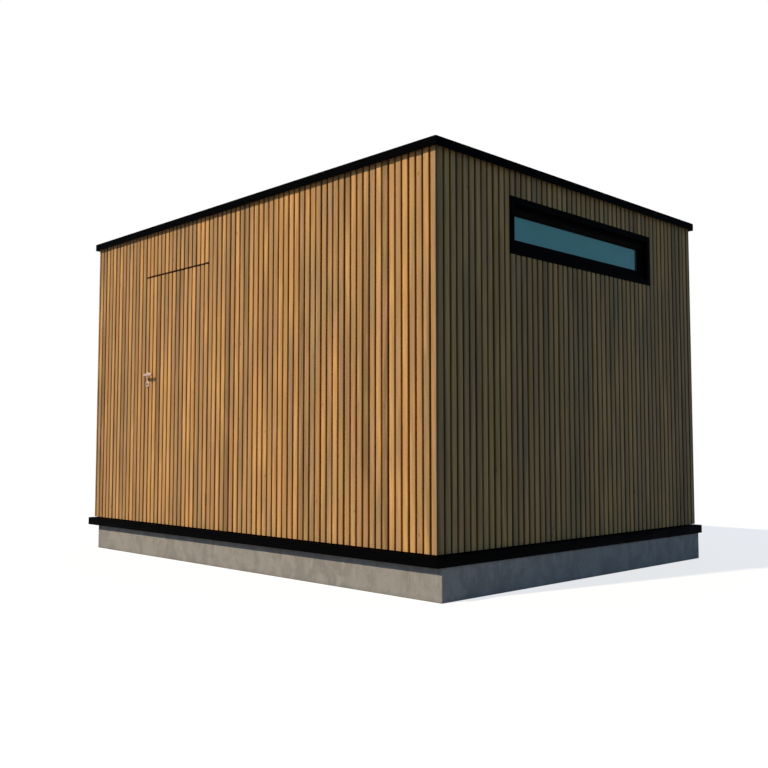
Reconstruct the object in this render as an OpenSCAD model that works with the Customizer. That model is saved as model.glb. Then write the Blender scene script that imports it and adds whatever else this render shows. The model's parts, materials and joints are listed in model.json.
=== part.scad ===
// Timber frame garden house: flat roof, upright open-gap slat cladding,
// dark metal trims, a slat-clad door that opens outwards and one narrow
// high window. The origin is on the underside of the plinth, in the middle
// of the cladding's plan. The door wall faces -Y and the window wall +X.

/* [House] */
// Length of the long walls over the slats
house_l = 4020; // [3600:10:6000]
// Depth of the house over the slats
house_d = 3000; // [2600:10:4500]
// Height from the underside of the plinth to the top of the roof trim
house_h = 2650; // [2400:10:3000]

/* [Plinth and ledge] */
// Height of the concrete plinth
plinth_h = 196; // [120:2:300]
// How far the plinth stands out past the door wall's slats
plinth_out_front = -8; // [-20:1:20]
// How far the plinth stands out past the window wall's slats
plinth_out_right = 29; // [-20:1:30]
// How far the plinth stays back from the left wall's slats
plinth_in_left = 60; // [0:5:120]
// How far the plinth stays back from the back wall's slats
plinth_in_back = 4; // [0:1:40]
// Height of the ledge's face
ledge_h = 61; // [40:1:90]
// How far the ledge stands out past the slats
ledge_out = 37; // [20:1:60]

/* [Walls] */
// Width of one cladding slat
slat_w = 42; // [38:1:44]
// Distance from one slat to the next
slat_pitch = 56.4; // [54:0.2:58]
// Depth of one cladding slat
slat_t = 20; // [16:1:24]
// Depth of the slats and the battens behind them
cladding_t = 45; // [40:1:60]
// Thickness of the stud wall behind the battens
wall_t = 125; // [100:5:180]
// Height of the floor above the plinth
floor_t = 88; // [70:2:120]
// Gap between the ledge and the lower ends of the slats
slat_foot_gap = 8; // [6:1:15]

/* [Roof] */
// Height of the roof trim's face
trim_h = 56; // [50:2:120]
// How far the slats run up behind the roof trim's face
slat_cover = 20; // [8:1:30]
// How far the roof trim stands out past the slats
trim_out = 26; // [10:1:50]
// Thickness of the roof panel
roof_t = 100; // [80:5:105]
// Thickness of the ceiling boards
ceiling_t = 15; // [12:1:25]
// Thickness of the trim and ledge profiles
profile_t = 6; // [4:1:8]

/* [Door] */
// Number of slats between the window wall and the door
slats_before_door = 41; // [20:1:44]
// Number of slats on the door
door_slats = 16; // [14:1:20]
// Height from the door's upper edge to the roof trim
door_below_trim = 355; // [330:1:500]
// Gap above the door
door_head_gap = 14; // [8:1:16]
// Thickness of the door leaf behind its battens
leaf_t = 45; // [40:1:68]
// Clearance between the closed leaf and its stops
stop_gap = 6; // [5:0.5:10]
// Width of the stops that the leaf closes against
stop_w = 22; // [20:1:23]
// Thickness of the jambs and of the head
jamb_t = 50; // [40:1:70]

/* [Lever and lock] */
// Height of the lever's axis
lever_z = 1445; // [950:5:1500]
// Distance from the lever's axis down to the lock cylinder
cylinder_drop = 72; // [72:1:92]
// Distance from the door's free edge to the lever's axis
backset = 40; // [36:1:60]
// Length of the lever's grip
grip_l = 122; // [100:1:140]
// How far the grip stands out from the door
grip_out = 40; // [36:1:65]

/* [Window] */
// Length of the window over its surround
window_l = 1693; // [800:1:1900]
// Height of the window over its surround
window_h = 369; // [320:1:500]
// Distance from the door wall's slats to the window's near side
window_from_corner = 688; // [400:1:800]
// Height from the window's upper edge to the roof trim
window_below_trim = 153; // [149:1:900]
// Width of the surround's face
surround_w = 40; // [25:1:60]
// Width of the window frame's face
frame_w = 70; // [40:1:80]
// How far the window frame lies behind the surround's face
frame_setback = 30; // [20:1:45]
// How far the glass lies behind the surround's face
glass_setback = 53; // [45:1:75]

/* [Hidden] */

$fn = 48;
concrete = "#8d877b";
larch = "#b3814c";
sheathing = "#3a322a";
boards = "#c6a377";
black = "#161616";
steel = "#b9bcbe";
glass = "#2e545e";

// Half sizes of the plan: over the slats, over the stud walls and inside
half_l = house_l / 2;
half_d = house_d / 2;
core_l = half_l - cladding_t;
core_d = half_d - cladding_t;
room_l = core_l - wall_t;
room_d = core_d - wall_t;

// How far a cutting shape runs past the faces that it cuts
past = 1;

// Heights of the storey, from the plinth up
ledge_top = plinth_h + ledge_h;
slat_foot = ledge_top + slat_foot_gap;
floor_top = plinth_h + floor_t;
trim_foot = house_h - trim_h;
slat_head = trim_foot + slat_cover;
upstand_top = house_h - profile_t;
membrane_t = 8;
panel_drop = 15;
panel_top = trim_foot - panel_drop;
wall_top = panel_top - roof_t;
upstand_w = 60;
flange_in = 10;

// Rows of slats. The door wall's and the back wall's start at the window wall, and the
// others at the inner face of the door wall's slats. A strip that would be narrower than
// least_rip is left out, and an edge within tiny of the end of a stretch is moved to it.
slat_rows = ceil(max(house_l, house_d) / slat_pitch);
least_rip = 1;
tiny = 0.01;

function snap(v, low, high) = v < low + tiny ? low : v > high - tiny ? high : v;

// Both edges of each slat between low and high, in rising order. The row starts at first
// and runs in the direction way.
function slat_row(first, way, low, high) = [
  for (k = way > 0 ? [0 : slat_rows] : [slat_rows : -1 : 0])
    let (edge = first + way * k * slat_pitch,
         a = snap(min(edge, edge + way * slat_w), low, high),
         b = snap(max(edge, edge + way * slat_w), low, high))
    if (b - a > least_rip) [a, b]
];

// The plan of a stretch of cladding: a layer of battens from back to mid, with the slats
// of row standing on it up to face
function slatted_plan(row, low, high, back, mid, face) = [
  [low, back],
  if (row[0][0] > low) [low, mid],
  for (slat = row) each [
    if (slat[0] > low) [slat[0], mid],
    [slat[0], face],
    [slat[1], face],
    if (slat[1] < high) [slat[1], mid]
  ],
  if (row[len(row) - 1][1] < high) [high, mid],
  [high, back]
];

// The door's edges fall in the gaps between slats
slat_gap = slat_pitch - slat_w;
door_right = half_l - slats_before_door * slat_pitch;
door_left = door_right - (door_slats - 1) * slat_pitch - slat_w;
hinge_x = door_right + slat_gap / 2;
hinge_y = -half_d;
jamb_right = door_right + slat_gap;
jamb_left = door_left - slat_gap;
door_top = trim_foot - door_below_trim;
head_z = door_top + door_head_gap;
leaf_face = -half_d + cladding_t;
leaf_back = leaf_face + leaf_t;
stop_face = leaf_back + stop_gap;
sill_clear = 7;

// Hinges: three, each a pair of flanges round one pin
hinge_h = 100;
hinge_inset = 167;
hinge_low = slat_foot + hinge_inset;
hinge_high = door_top - hinge_inset - hinge_h;
hinge_feet = [hinge_low, (hinge_low + hinge_high) / 2, hinge_high];
knuckle_r = 6;
pin_r = 3;
pin_clear = 0.3;
knuckle_gap = 1;
flange_t = 3;
flange_d = 75;
bearing_h = 30;

// Lever furniture
lever_x = door_left + backset;
spindle_w = 8;
follower_r = 12;
neck_r = 10.5;
grip_r = neck_r;
rosette_r = 26;
rosette_t = 8;
bearing_clear = 0.3;
cylinder_r = 8.5;
cylinder_bore_r = cylinder_r + bearing_clear;
cylinder_z = lever_z - cylinder_drop;
cylinder_proud = 3;
forend_w = 20;
forend_h = 235;
forend_t = 3;
forend_below = 110;

// Window: positions along the window wall and upwards
window_y0 = -half_d + window_from_corner;
window_top = trim_foot - window_below_trim;
window_z0 = window_top - window_h;
surround_proud = 3;
window_face = half_l + surround_proud;
frame_d = 70;
glass_t = 24;
glass_lap = 15;

// A box between two opposite corners
module box(a, b) translate(a) cube(b - a);

// The stretch of a rectangular ring that runs along one side. The ring lies
// between half sizes i and o. The ends are mitred.
module mitred(side, i, o, z0, z1) {
  ring = [
    [[-o.x, -o.y], [o.x, -o.y], [i.x, -i.y], [-i.x, -i.y]],
    [[o.x, -o.y], [o.x, o.y], [i.x, i.y], [i.x, -i.y]],
    [[o.x, o.y], [-o.x, o.y], [-i.x, i.y], [i.x, i.y]],
    [[-o.x, o.y], [-o.x, -o.y], [-i.x, -i.y], [-i.x, i.y]]
  ];
  translate([0, 0, z0]) linear_extrude(z1 - z0) polygon(ring[side]);
}

// A folded profile along one side: a flange that reaches in to half size i
// and a face of thickness profile_t on the outside, hanging from its edge
module folded_profile(side, i, o, z0, z1) {
  mitred(side, i, o, z1 - profile_t, z1);
  mitred(side, o - [profile_t, profile_t], o, z0, z1);
}

// A rectangular frame on the window wall, given its face width
module upright_frame(x0, x1, y0, y1, z0, z1, w) {
  difference() {
    box([x0, y0, z0], [x1, y1, z1]);
    box([x0 - past, y0 + w, z0 + w], [x1 + past, y1 - w, z1 - w]);
  }
}

// A round bar along Y
module y_bar(r, y0, y1) translate([0, y0, 0]) rotate([-90, 0, 0]) cylinder(r = r, h = y1 - y0);

module plinth()
  color(concrete)
    box([-half_l + plinth_in_left, -half_d - plinth_out_front, 0],
        [half_l + plinth_out_right, half_d - plinth_in_back, plinth_h]);

module ledge(side)
  color(black)
    folded_profile(side, [core_l, core_d], [half_l + ledge_out, half_d + ledge_out],
                   plinth_h, ledge_top);

module floor_panel()
  color(boards) box([-room_l, -room_d, plinth_h], [room_l, room_d, floor_top]);

module front_wall_left()
  color(sheathing)
    box([-core_l, -core_d, plinth_h], [jamb_left - jamb_t, -room_d, wall_top]);

module front_wall_right()
  color(sheathing)
    box([jamb_right + jamb_t, -core_d, plinth_h], [core_l, -room_d, wall_top]);

module front_wall_over_door()
  color(sheathing)
    box([jamb_left - jamb_t, -core_d, head_z + jamb_t],
        [jamb_right + jamb_t, -room_d, wall_top]);

module right_wall()
  color(sheathing)
    difference() {
      box([room_l, -room_d, plinth_h], [core_l, room_d, wall_top]);
      box([room_l - past, window_y0, window_z0],
          [core_l + past, window_y0 + window_l, window_top]);
    }

module back_wall()
  color(sheathing) box([-core_l, room_d, plinth_h], [core_l, core_d, wall_top]);

module left_wall()
  color(sheathing) box([-core_l, -room_d, plinth_h], [-room_l, room_d, wall_top]);

// Cladding on the door wall, where way is -1, or on the back wall, where it is 1
module long_cladding(way, low, high, z0, z1)
  translate([0, 0, z0])
    linear_extrude(z1 - z0)
      polygon(slatted_plan(slat_row(half_l, -1, low, high), low, high,
                           way * core_d, way * (half_d - slat_t), way * half_d));

// Cladding on the window wall, where way is 1, or on the left wall, where it is -1
module short_cladding(way)
  translate([0, 0, slat_foot])
    linear_extrude(slat_head - slat_foot)
      polygon([
        for (p = slatted_plan(slat_row(-half_d + slat_t, 1, -core_d, core_d), -core_d, core_d,
                              way * core_l, way * (half_l - slat_t), way * half_l))
          [p[1], p[0]]
      ]);

module front_cladding_left()
  color(larch) long_cladding(-1, -half_l, jamb_left, slat_foot, slat_head);

module front_cladding_right()
  color(larch) long_cladding(-1, jamb_right, half_l, slat_foot, slat_head);

module front_cladding_over_door()
  color(larch) long_cladding(-1, jamb_left, jamb_right, head_z, slat_head);

module right_cladding()
  color(larch)
    difference() {
      short_cladding(1);
      box([core_l - past, window_y0, window_z0],
          [half_l + past, window_y0 + window_l, window_top]);
    }

module back_cladding()
  color(larch) long_cladding(1, -half_l, half_l, slat_foot, slat_head);

module left_cladding()
  color(larch) short_cladding(-1);

module ceiling()
  color(boards) box([-room_l, -room_d, wall_top - ceiling_t], [room_l, room_d, wall_top]);

module roof_panel()
  color(sheathing) box([-core_l, -core_d, wall_top], [core_l, core_d, panel_top]);

module roof_upstand()
  color(boards)
    for (side = [0 : 3])
      mitred(side, [core_l - upstand_w, core_d - upstand_w], [core_l, core_d],
             panel_top, upstand_top);

module roof_membrane()
  color(black)
    box([-core_l + upstand_w, -core_d + upstand_w, panel_top],
        [core_l - upstand_w, core_d - upstand_w, panel_top + membrane_t]);

module roof_trim(side)
  color(black)
    folded_profile(side, [core_l - upstand_w - flange_in, core_d - upstand_w - flange_in],
                   [half_l + trim_out, half_d + trim_out], trim_foot, house_h);

module window_surround()
  color(black)
    upright_frame(core_l, window_face, window_y0, window_y0 + window_l,
                  window_z0, window_top, surround_w);

module window_lining()
  color(boards)
    upright_frame(room_l, core_l, window_y0, window_y0 + window_l,
                  window_z0, window_top, surround_w);

module window_frame()
  color(black)
    difference() {
      upright_frame(window_face - frame_setback - frame_d, window_face - frame_setback,
                    window_y0 + surround_w, window_y0 + window_l - surround_w,
                    window_z0 + surround_w, window_top - surround_w, frame_w);
      glass_body();
    }

// The pane, which reaches into the rebate all round
module glass_body()
  box([window_face - glass_setback - glass_t,
       window_y0 + surround_w + frame_w - glass_lap,
       window_z0 + surround_w + frame_w - glass_lap],
      [window_face - glass_setback,
       window_y0 + window_l - surround_w - frame_w + glass_lap,
       window_top - surround_w - frame_w + glass_lap]);

module window_glass() color(glass) glass_body();

// A jamb with its stop. The stop reaches towards the doorway, in the
// direction that reach gives.
module jamb(x, reach) {
  box([min(x, x - reach * jamb_t), -core_d, plinth_h],
      [max(x, x - reach * jamb_t), -room_d, head_z + jamb_t]);
  box([min(x, x + reach * stop_w), stop_face, plinth_h],
      [max(x, x + reach * stop_w), -room_d, head_z]);
}

module door_jamb_hinge_side() color(boards) jamb(jamb_right, -1);

module door_jamb_latch_side()
  color(boards)
    difference() {
      jamb(jamb_left, 1);
      strike_body();
    }

module door_head()
  color(boards) {
    box([jamb_left, -core_d, head_z], [jamb_right, -room_d, head_z + jamb_t]);
    box([jamb_left + stop_w, stop_face, head_z - stop_w],
        [jamb_right - stop_w, -room_d, head_z]);
  }

module threshold()
  color(steel) {
    box([jamb_left, -core_d, plinth_h], [jamb_right, stop_face, slat_foot - sill_clear]);
    box([jamb_left + stop_w, stop_face, plinth_h],
        [jamb_right - stop_w, -room_d, floor_top]);
  }

module strike_body()
  box([jamb_left - forend_t, (leaf_face + leaf_back - forend_w) / 2, lever_z - forend_below],
      [jamb_left, (leaf_face + leaf_back + forend_w) / 2,
       lever_z - forend_below + forend_h]);

module strike_plate() color(steel) strike_body();

// The flanges and outer knuckles on the jamb, with the pin
module frame_hinges()
  color(black)
    for (z = hinge_feet) {
      translate([hinge_x, hinge_y, z]) {
        cylinder(r = pin_r, h = hinge_h);
        for (foot = [0, hinge_h - bearing_h])
          translate([0, 0, foot]) {
            cylinder(r = knuckle_r, h = bearing_h);
            box([slat_gap / 2 - flange_t, 0, 0], [slat_gap / 2, flange_d, bearing_h]);
          }
        box([slat_gap / 2 - flange_t, knuckle_r + knuckle_gap, 0],
            [slat_gap / 2, flange_d, hinge_h]);
      }
    }

// The flanges on the door's edge, with the middle knuckles
module leaf_hinges()
  color(black)
    for (z = hinge_feet) {
      middle = hinge_h - 2 * (bearing_h + knuckle_gap);
      translate([hinge_x, hinge_y, z + bearing_h + knuckle_gap])
        difference() {
          union() {
            cylinder(r = knuckle_r, h = middle);
            box([-slat_gap / 2, 0, 0], [-slat_gap / 2 + flange_t, flange_d, middle]);
          }
          translate([0, 0, -past])
            cylinder(r = pin_r + pin_clear, h = middle + 2 * past);
        }
      translate([hinge_x, hinge_y, z])
        box([-slat_gap / 2, knuckle_r + knuckle_gap, 0],
            [-slat_gap / 2 + flange_t, flange_d, hinge_h]);
    }

// The holes for the lever's follower and the lock cylinder
module lock_bores(y0, y1) {
  translate([lever_x, 0, lever_z]) y_bar(follower_r, y0, y1);
  translate([lever_x, 0, cylinder_z]) y_bar(cylinder_bore_r, y0, y1);
}

module forend_body()
  box([door_left, (leaf_face + leaf_back - forend_w) / 2, lever_z - forend_below],
      [door_left + forend_t, (leaf_face + leaf_back + forend_w) / 2,
       lever_z - forend_below + forend_h]);

module door_leaf()
  color(boards)
    difference() {
      box([door_left, leaf_face, slat_foot], [door_right, leaf_back, door_top]);
      forend_body();
      lock_bores(leaf_face - past, leaf_back + past);
    }

module door_cladding()
  color(larch)
    difference() {
      long_cladding(-1, door_left, door_right, slat_foot, door_top);
      lock_bores(-half_d - past, leaf_face + past);
    }

module lock_forend() color(steel) forend_body();

// A round cover with a bore
module rosette(y0, y1, z, bore_r)
  translate([lever_x, 0, z])
    difference() {
      y_bar(rosette_r, y0, y1);
      y_bar(bore_r, y0 - past, y1 + past);
    }

module rosettes()
  color(steel) {
    rosette(-half_d - rosette_t, -half_d, lever_z, neck_r + bearing_clear);
    rosette(-half_d - rosette_t, -half_d, cylinder_z, cylinder_bore_r);
    rosette(leaf_back, leaf_back + rosette_t, lever_z, neck_r + bearing_clear);
    rosette(leaf_back, leaf_back + rosette_t, cylinder_z, cylinder_bore_r);
  }

module lock_cylinder()
  color(steel)
    translate([lever_x, 0, cylinder_z])
      y_bar(cylinder_r, -half_d - rosette_t - cylinder_proud,
            leaf_back + rosette_t + cylinder_proud);

// A lever on the face at y. The neck goes away from the door in the
// direction that way gives, and the grip runs towards the hinges.
module lever(y, way) {
  end = y + way * grip_out;
  translate([lever_x, 0, lever_z]) {
    y_bar(neck_r, min(y, end), max(y, end));
    translate([0, end, 0]) {
      sphere(r = grip_r);
      rotate([0, 90, 0]) cylinder(r = grip_r, h = grip_l - grip_r);
      translate([grip_l - grip_r, 0, 0]) sphere(r = grip_r);
    }
  }
}

module lever_outside() color(steel) lever(-half_d, -1);

module lever_inside() color(steel) lever(leaf_back, 1);

module spindle()
  color(steel)
    box([lever_x - spindle_w / 2, -half_d, lever_z - spindle_w / 2],
        [lever_x + spindle_w / 2, leaf_back, lever_z + spindle_w / 2]);

plinth();
ledge(0);  // ledge_front
ledge(1);  // ledge_right
ledge(2);  // ledge_back
ledge(3);  // ledge_left
floor_panel();
front_wall_left();
front_wall_right();
front_wall_over_door();
right_wall();
back_wall();
left_wall();
front_cladding_left();
front_cladding_right();
front_cladding_over_door();
right_cladding();
back_cladding();
left_cladding();
ceiling();
roof_panel();
roof_upstand();
roof_membrane();
roof_trim(0);  // roof_trim_front
roof_trim(1);  // roof_trim_right
roof_trim(2);  // roof_trim_back
roof_trim(3);  // roof_trim_left
window_surround();
window_lining();
window_frame();
window_glass();
door_jamb_hinge_side();
door_jamb_latch_side();
door_head();
threshold();
strike_plate();
frame_hinges();
door_leaf();
door_cladding();
leaf_hinges();
lock_forend();
rosettes();
lock_cylinder();
lever_outside();
lever_inside();
spindle();
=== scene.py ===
"""Timber frame garden house: slats, boards, fittings, finishes and the stage.

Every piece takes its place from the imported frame. Lengths are in metres. The
door wall faces -Y, the window wall faces +X and +Z is up.
"""

import json
import math

import bmesh
import bpy
from bpy.props import FloatProperty, FloatVectorProperty, IntProperty, PointerProperty
from bpy.types import NodeSocket, Operator, Panel, PropertyGroup
from mathutils import Euler, Matrix, Vector


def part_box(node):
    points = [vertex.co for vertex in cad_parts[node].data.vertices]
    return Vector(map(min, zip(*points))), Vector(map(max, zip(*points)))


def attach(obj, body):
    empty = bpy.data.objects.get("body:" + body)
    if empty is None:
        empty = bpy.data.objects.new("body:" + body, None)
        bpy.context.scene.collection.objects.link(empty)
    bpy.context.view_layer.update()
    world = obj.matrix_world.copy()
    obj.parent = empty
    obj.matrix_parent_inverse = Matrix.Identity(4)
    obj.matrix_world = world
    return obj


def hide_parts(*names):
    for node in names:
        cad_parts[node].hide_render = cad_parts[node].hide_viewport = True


bl_info = {
    "name": "Timber frame garden house",
    "version": (1, 0, 0),
    "blender": (4, 5, 0),
    "location": "View3D > Sidebar > Garden House",
    "description": "Slats, boards, fittings and finishes of a slat-clad garden house",
    "category": "Add Mesh",
}

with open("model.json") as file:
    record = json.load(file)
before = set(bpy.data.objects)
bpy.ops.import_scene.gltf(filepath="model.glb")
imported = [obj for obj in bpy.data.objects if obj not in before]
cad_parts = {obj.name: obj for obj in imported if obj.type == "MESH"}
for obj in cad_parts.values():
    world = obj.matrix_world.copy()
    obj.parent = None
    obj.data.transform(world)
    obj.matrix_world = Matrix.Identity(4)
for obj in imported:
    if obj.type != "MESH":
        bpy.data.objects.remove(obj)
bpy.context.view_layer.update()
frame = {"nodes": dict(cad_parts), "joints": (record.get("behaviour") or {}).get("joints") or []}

FLOAT = "NodeSocketFloat"
VECTOR = "NodeSocketVector"
GEOMETRY = "NodeSocketGeometry"

# A quarter turn
QUARTER = math.pi / 2

# A board stands along its own Z and shows its own -Y side. These turns stand it up on each
# wall, by the side of the house that it faces, or lay it down.
FACING = {
    "front": Euler((0, 0, 0)),
    "back": Euler((0, 0, 2 * QUARTER)),
    "right": Euler((0, 0, QUARTER)),
    "left": Euler((0, 0, -QUARTER)),
}
UPRIGHT = FACING["front"]
ALONG_X = Euler((0, QUARTER, 0))
ALONG_Y = Euler((-QUARTER, QUARTER, 0))
LAID_ALONG_X = Euler((QUARTER, 0, QUARTER))

SIDES = ("front", "right", "back", "left")

# Each wall of slats: the body it rides on, the side it faces, what its seed adds to the
# setting and the nodes that it replaces. The seeds give each wall its own order of tones.
WALLS = {
    "front": ("house", "front", 78, [
        "front_cladding_left", "front_cladding_right", "front_cladding_over_door",
    ]),
    "back": ("house", "back", 0, ["back_cladding"]),
    "left": ("house", "left", 117, ["left_cladding"]),
    "right": ("house", "right", 156, ["right_cladding"]),
    "door": ("door", "front", 170, ["door_cladding"]),
}

# From the door leaf's inner face to the frame's stops
STOP_GAP = 0.006
# How much of a jamb's face and of the window lining's edge the casings cover
JAMB_COVER = 0.045
NICHE_COVER = 0.012
# How far the window's frame laps over the pane
PANE_LAP = 0.011
# Radius of the long edges of the room's boards, and of its casings and skirting
BOARD_ARRIS = 0.0015
CASING_ARRIS = 0.002


# ---------------------------------------------------------------- settings


def length(name, description, default):
    """A length that a user may change."""
    return FloatProperty(
        name=name, description=description, default=default, min=0.0, precision=4,
        subtype="DISTANCE", unit="LENGTH",
    )


def colour(name, description, default):
    """A linear colour that a user may change."""
    return FloatVectorProperty(
        name=name, description=description, default=default, size=3, min=0.0, max=1.0,
        subtype="COLOR",
    )


def share(name, description, default):
    """A share from none to all that a user may change."""
    return FloatProperty(
        name=name, description=description, default=default, min=0.0, max=1.0, subtype="FACTOR",
    )


class CladdingSettings(PropertyGroup):
    """The slats, the battens behind them and the door's wind sheet."""

    slat_width: length("Slat width", "Width of one slat's face", 0.042)
    slat_pitch: length("Slat pitch", "Distance from one slat to the next", 0.0564)
    slat_depth: length("Slat depth", "Thickness of a slat", 0.020)
    arris: length("Arris", "Radius of a slat's long edges", 0.0040)
    wander: length("Wander", "How far a slat may sit off its line", 0.0012)
    batten_width: length("Batten width", "Height of a horizontal batten", 0.045)
    batten_rows: IntProperty(
        name="Batten rows", description="Rows of battens up a wall", default=5, min=2,
    )
    batten_inset: length("Batten inset", "From the slats' ends to the end rows", 0.10)
    sheet: length("Sheet", "Thickness of the door's wind sheet", 0.0010)
    sheet_lap: length("Sheet lap", "How far its upper length laps the lower", 0.15)
    # The greyed shares are partly the timber's greying and partly painted shade: the window wall, out
    # of the sun, has all of it and the sunlit door wall none
    greyed_front: share("Greyed, front", "How far the door wall's slats have greyed", 0.0)
    greyed_right: share("Greyed, right", "How far the window wall's slats have greyed", 1.0)
    greyed_back: share("Greyed, back", "How far the back wall's slats have greyed", 0.6)
    greyed_left: share("Greyed, left", "How far the left wall's slats have greyed", 0.3)
    seed: IntProperty(name="Seed", description="Picks the tones of the slats", default=61)


class BoardSettings(PropertyGroup):
    """The boards, skirting and casings of the room."""

    lining_pitch: length("Lining pitch", "Distance between wall boards", 0.098)
    lining_depth: length("Lining depth", "Thickness of the wall boards", 0.012)
    floor_pitch: length("Floor pitch", "Distance between floor boards", 0.121)
    floor_depth: length("Floor depth", "Thickness of the floor boards", 0.022)
    joint: length("Joint", "Open joint between two boards", 0.002)
    skirting: length("Skirting", "Height of the skirting boards", 0.060)
    casing_width: length("Casing width", "Width of the casing round an opening", 0.060)
    casing_depth: length("Casing depth", "Thickness of the casing", 0.012)


class FittingSettings(PropertyGroup):
    """Lever, rosettes, seals, folded metal, window beads and roof seams."""

    grip_radius: length("Grip radius", "Radius of the lever's round bar", 0.0103)
    elbow: length("Elbow", "Radius of the lever's bend", 0.016)
    chamfer: length("Chamfer", "Chamfer of the rosettes", 0.0015)
    bead: length("Bead", "Thickness of the door's rubber seal", 0.004)
    sheet: length("Sheet", "Thickness of the folded metal's edges", 0.004)
    hem: length("Hem", "Height of the hemmed drip edge", 0.009)
    fold: length("Fold", "Radius of the metal's folds", 0.002)
    trim_joint: length("Trim joint", "Joint between two lengths of metal", 0.0012)
    trim_length: length("Trim length", "Longest length of folded metal", 2.2)
    bead_slope: length("Bead slope", "Width of the window frame's sloping bead", 0.027)
    end_bead: length("End bead", "Width of the cover strip at the pane's far end", 0.018)
    seam_pitch: length("Seam pitch", "Distance between the roof sheet's seams", 0.95)
    seam_width: length("Seam width", "Overlap of the roof sheet's seams", 0.06)


class ColourSettings(PropertyGroup):
    """Base colours of the finishes."""

    honey: colour("Honey", "Lightest slats", (0.765, 0.455, 0.178))
    amber: colour("Amber", "Common slats", (0.565, 0.330, 0.132))
    tan: colour("Tan", "Dull slats", (0.460, 0.292, 0.143))
    umber: colour("Umber", "Darkest slats", (0.315, 0.198, 0.094))
    ash: colour("Ash", "Greyish slats", (0.385, 0.266, 0.150))
    rose: colour("Rose", "Pinkish drift along a slat", (0.624, 0.340, 0.204))
    olive: colour("Olive", "Greenish drift along a slat", (0.460, 0.336, 0.139))
    # The two gap tints below are painted shade, with warm light bounced between the slats, on the
    # slats' sides in the gaps
    joint: colour("Joint", "Tint of the slats' edges in the gaps", (1.000, 0.660, 0.075))
    greyed_gap_shade: colour(
        "Grey joint", "The same tint where the slats have greyed", (0.520, 0.460, 0.120)
    )
    # Partly the timber's greying and partly painted shade: walls out of the sun take more of it
    weather: colour("Weather", "Tint of slats that have greyed", (0.590, 0.700, 0.755))
    concrete: colour("Concrete", "Plinth", (0.313, 0.297, 0.272))
    black_metal: colour("Black metal", "Ledge, roof trim and window", (0.0006, 0.0006, 0.0007))
    bronze: colour("Bronze", "Hinges", (0.150, 0.080, 0.028))
    membrane: colour("Membrane", "Dark finish behind the slats", (0.030, 0.014, 0.005))
    roof_sheet: colour("Roof sheet", "Roof covering", (0.045, 0.046, 0.050))
    lining: colour("Lining", "Wall and ceiling boards", (0.560, 0.395, 0.225))
    floor: colour("Floor", "Floor boards", (0.420, 0.265, 0.135))
    stained: colour("Stained timber", "Door leaf and jambs", (0.050, 0.036, 0.027))
    # The pane's teal colour is partly its tint and partly painted reflection of the sky
    glass: colour("Glass", "Window pane", (0.140, 0.470, 0.435))
    # The steel's warm tint is painted reflection of the sun and of the timber around it
    steel: colour("Steel", "Lever and rosettes", (0.760, 0.560, 0.430))


class StageSettings(PropertyGroup):
    """Camera, sun and sky."""

    lens: FloatProperty(
        name="Lens", description="Focal length on a 36 mm sensor", default=43.27,
        min=10.0, unit="CAMERA",
    )
    camera_right: length("Camera right", "From the near corner along +X", 3.515)
    camera_front: length("Camera front", "From the near corner along -Y", 3.849)
    camera_height: length("Camera height", "Height above the ground", 0.8756)
    turn: FloatProperty(
        name="Turn", description="Turn of the camera about the upright", subtype="ANGLE",
        default=math.radians(45.654),
    )
    tilt: FloatProperty(
        name="Tilt", description="How far the camera looks up", subtype="ANGLE",
        default=math.radians(3.825),
    )
    sun_place: FloatVectorProperty(
        name="Sun place", description="Direction towards the sun", default=(-0.22, -1.0, 0.95),
        size=3, subtype="XYZ",
    )
    sun_energy: FloatProperty(name="Sun", description="Strength of the sun", default=3.4)
    sun_colour: colour("Sun colour", "Colour of the sun", (1.0, 0.857, 0.65))
    sun_size: FloatProperty(
        name="Sun size", description="Apparent size of the sun", subtype="ANGLE",
        default=math.radians(1.5),
    )
    sky_colour: colour("Sky colour", "Light of the open sky", (0.185, 0.285, 0.440))
    backdrop: colour("Backdrop", "What the camera sees behind", (1.0, 1.0, 1.0))
    floor_colour: colour("Floor colour", "The stage's floor", (0.32, 0.32, 0.32))
    floor_glow: colour("Floor glow", "Even light of the pale floor", (0.74, 0.74, 0.74))
    floor_bounce: colour("Floor bounce", "What the floor throws back", (0.20, 0.20, 0.20))


SETTINGS = {
    "house_cladding": CladdingSettings,
    "house_boards": BoardSettings,
    "house_fittings": FittingSettings,
    "house_colours": ColourSettings,
    "house_stage": StageSettings,
}


# ------------------------------------------------------------- node helpers


def add(tree, kind, inputs=None, **settings):
    """Adds a node, sets its properties, then sets or links its inputs."""
    node = tree.nodes.new(kind)
    node.location.x = 180 * len(tree.nodes)
    for key, value in settings.items():
        setattr(node, key, value)
    for key, value in (inputs or {}).items():
        if isinstance(value, NodeSocket):
            tree.links.new(value, node.inputs[key])
        else:
            node.inputs[key].default_value = value
    return node


def maths(tree, operation, first, second=0.0, clamp=False):
    """The result of one Math node."""
    node = add(tree, "ShaderNodeMath", {0: first, 1: second}, operation=operation)
    node.use_clamp = clamp
    return node.outputs[0]


def times(tree, first, second):
    """The product of two values."""
    return maths(tree, "MULTIPLY", first, second)


def ramp(tree, value, low, high, to_low=0.0, to_high=1.0):
    """value from low..high brought smoothly to to_low..to_high."""
    node = add(
        tree, "ShaderNodeMapRange",
        {"Value": value, "From Min": low, "From Max": high, "To Min": to_low, "To Max": to_high},
        interpolation_type="SMOOTHSTEP",
    )
    return node.outputs["Result"]


def blend(tree, factor, first, second, mode="MIX"):
    """Two colours mixed. Either may be a socket or a colour."""
    first, second = (
        tone if isinstance(tone, NodeSocket) else (*tone, 1.0) for tone in (first, second)
    )
    # These are the numbers of the Mix node's colour sockets
    node = add(
        tree, "ShaderNodeMix", {0: factor, 6: first, 7: second}, data_type="RGBA", blend_type=mode
    )
    return node.outputs[2]


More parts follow.
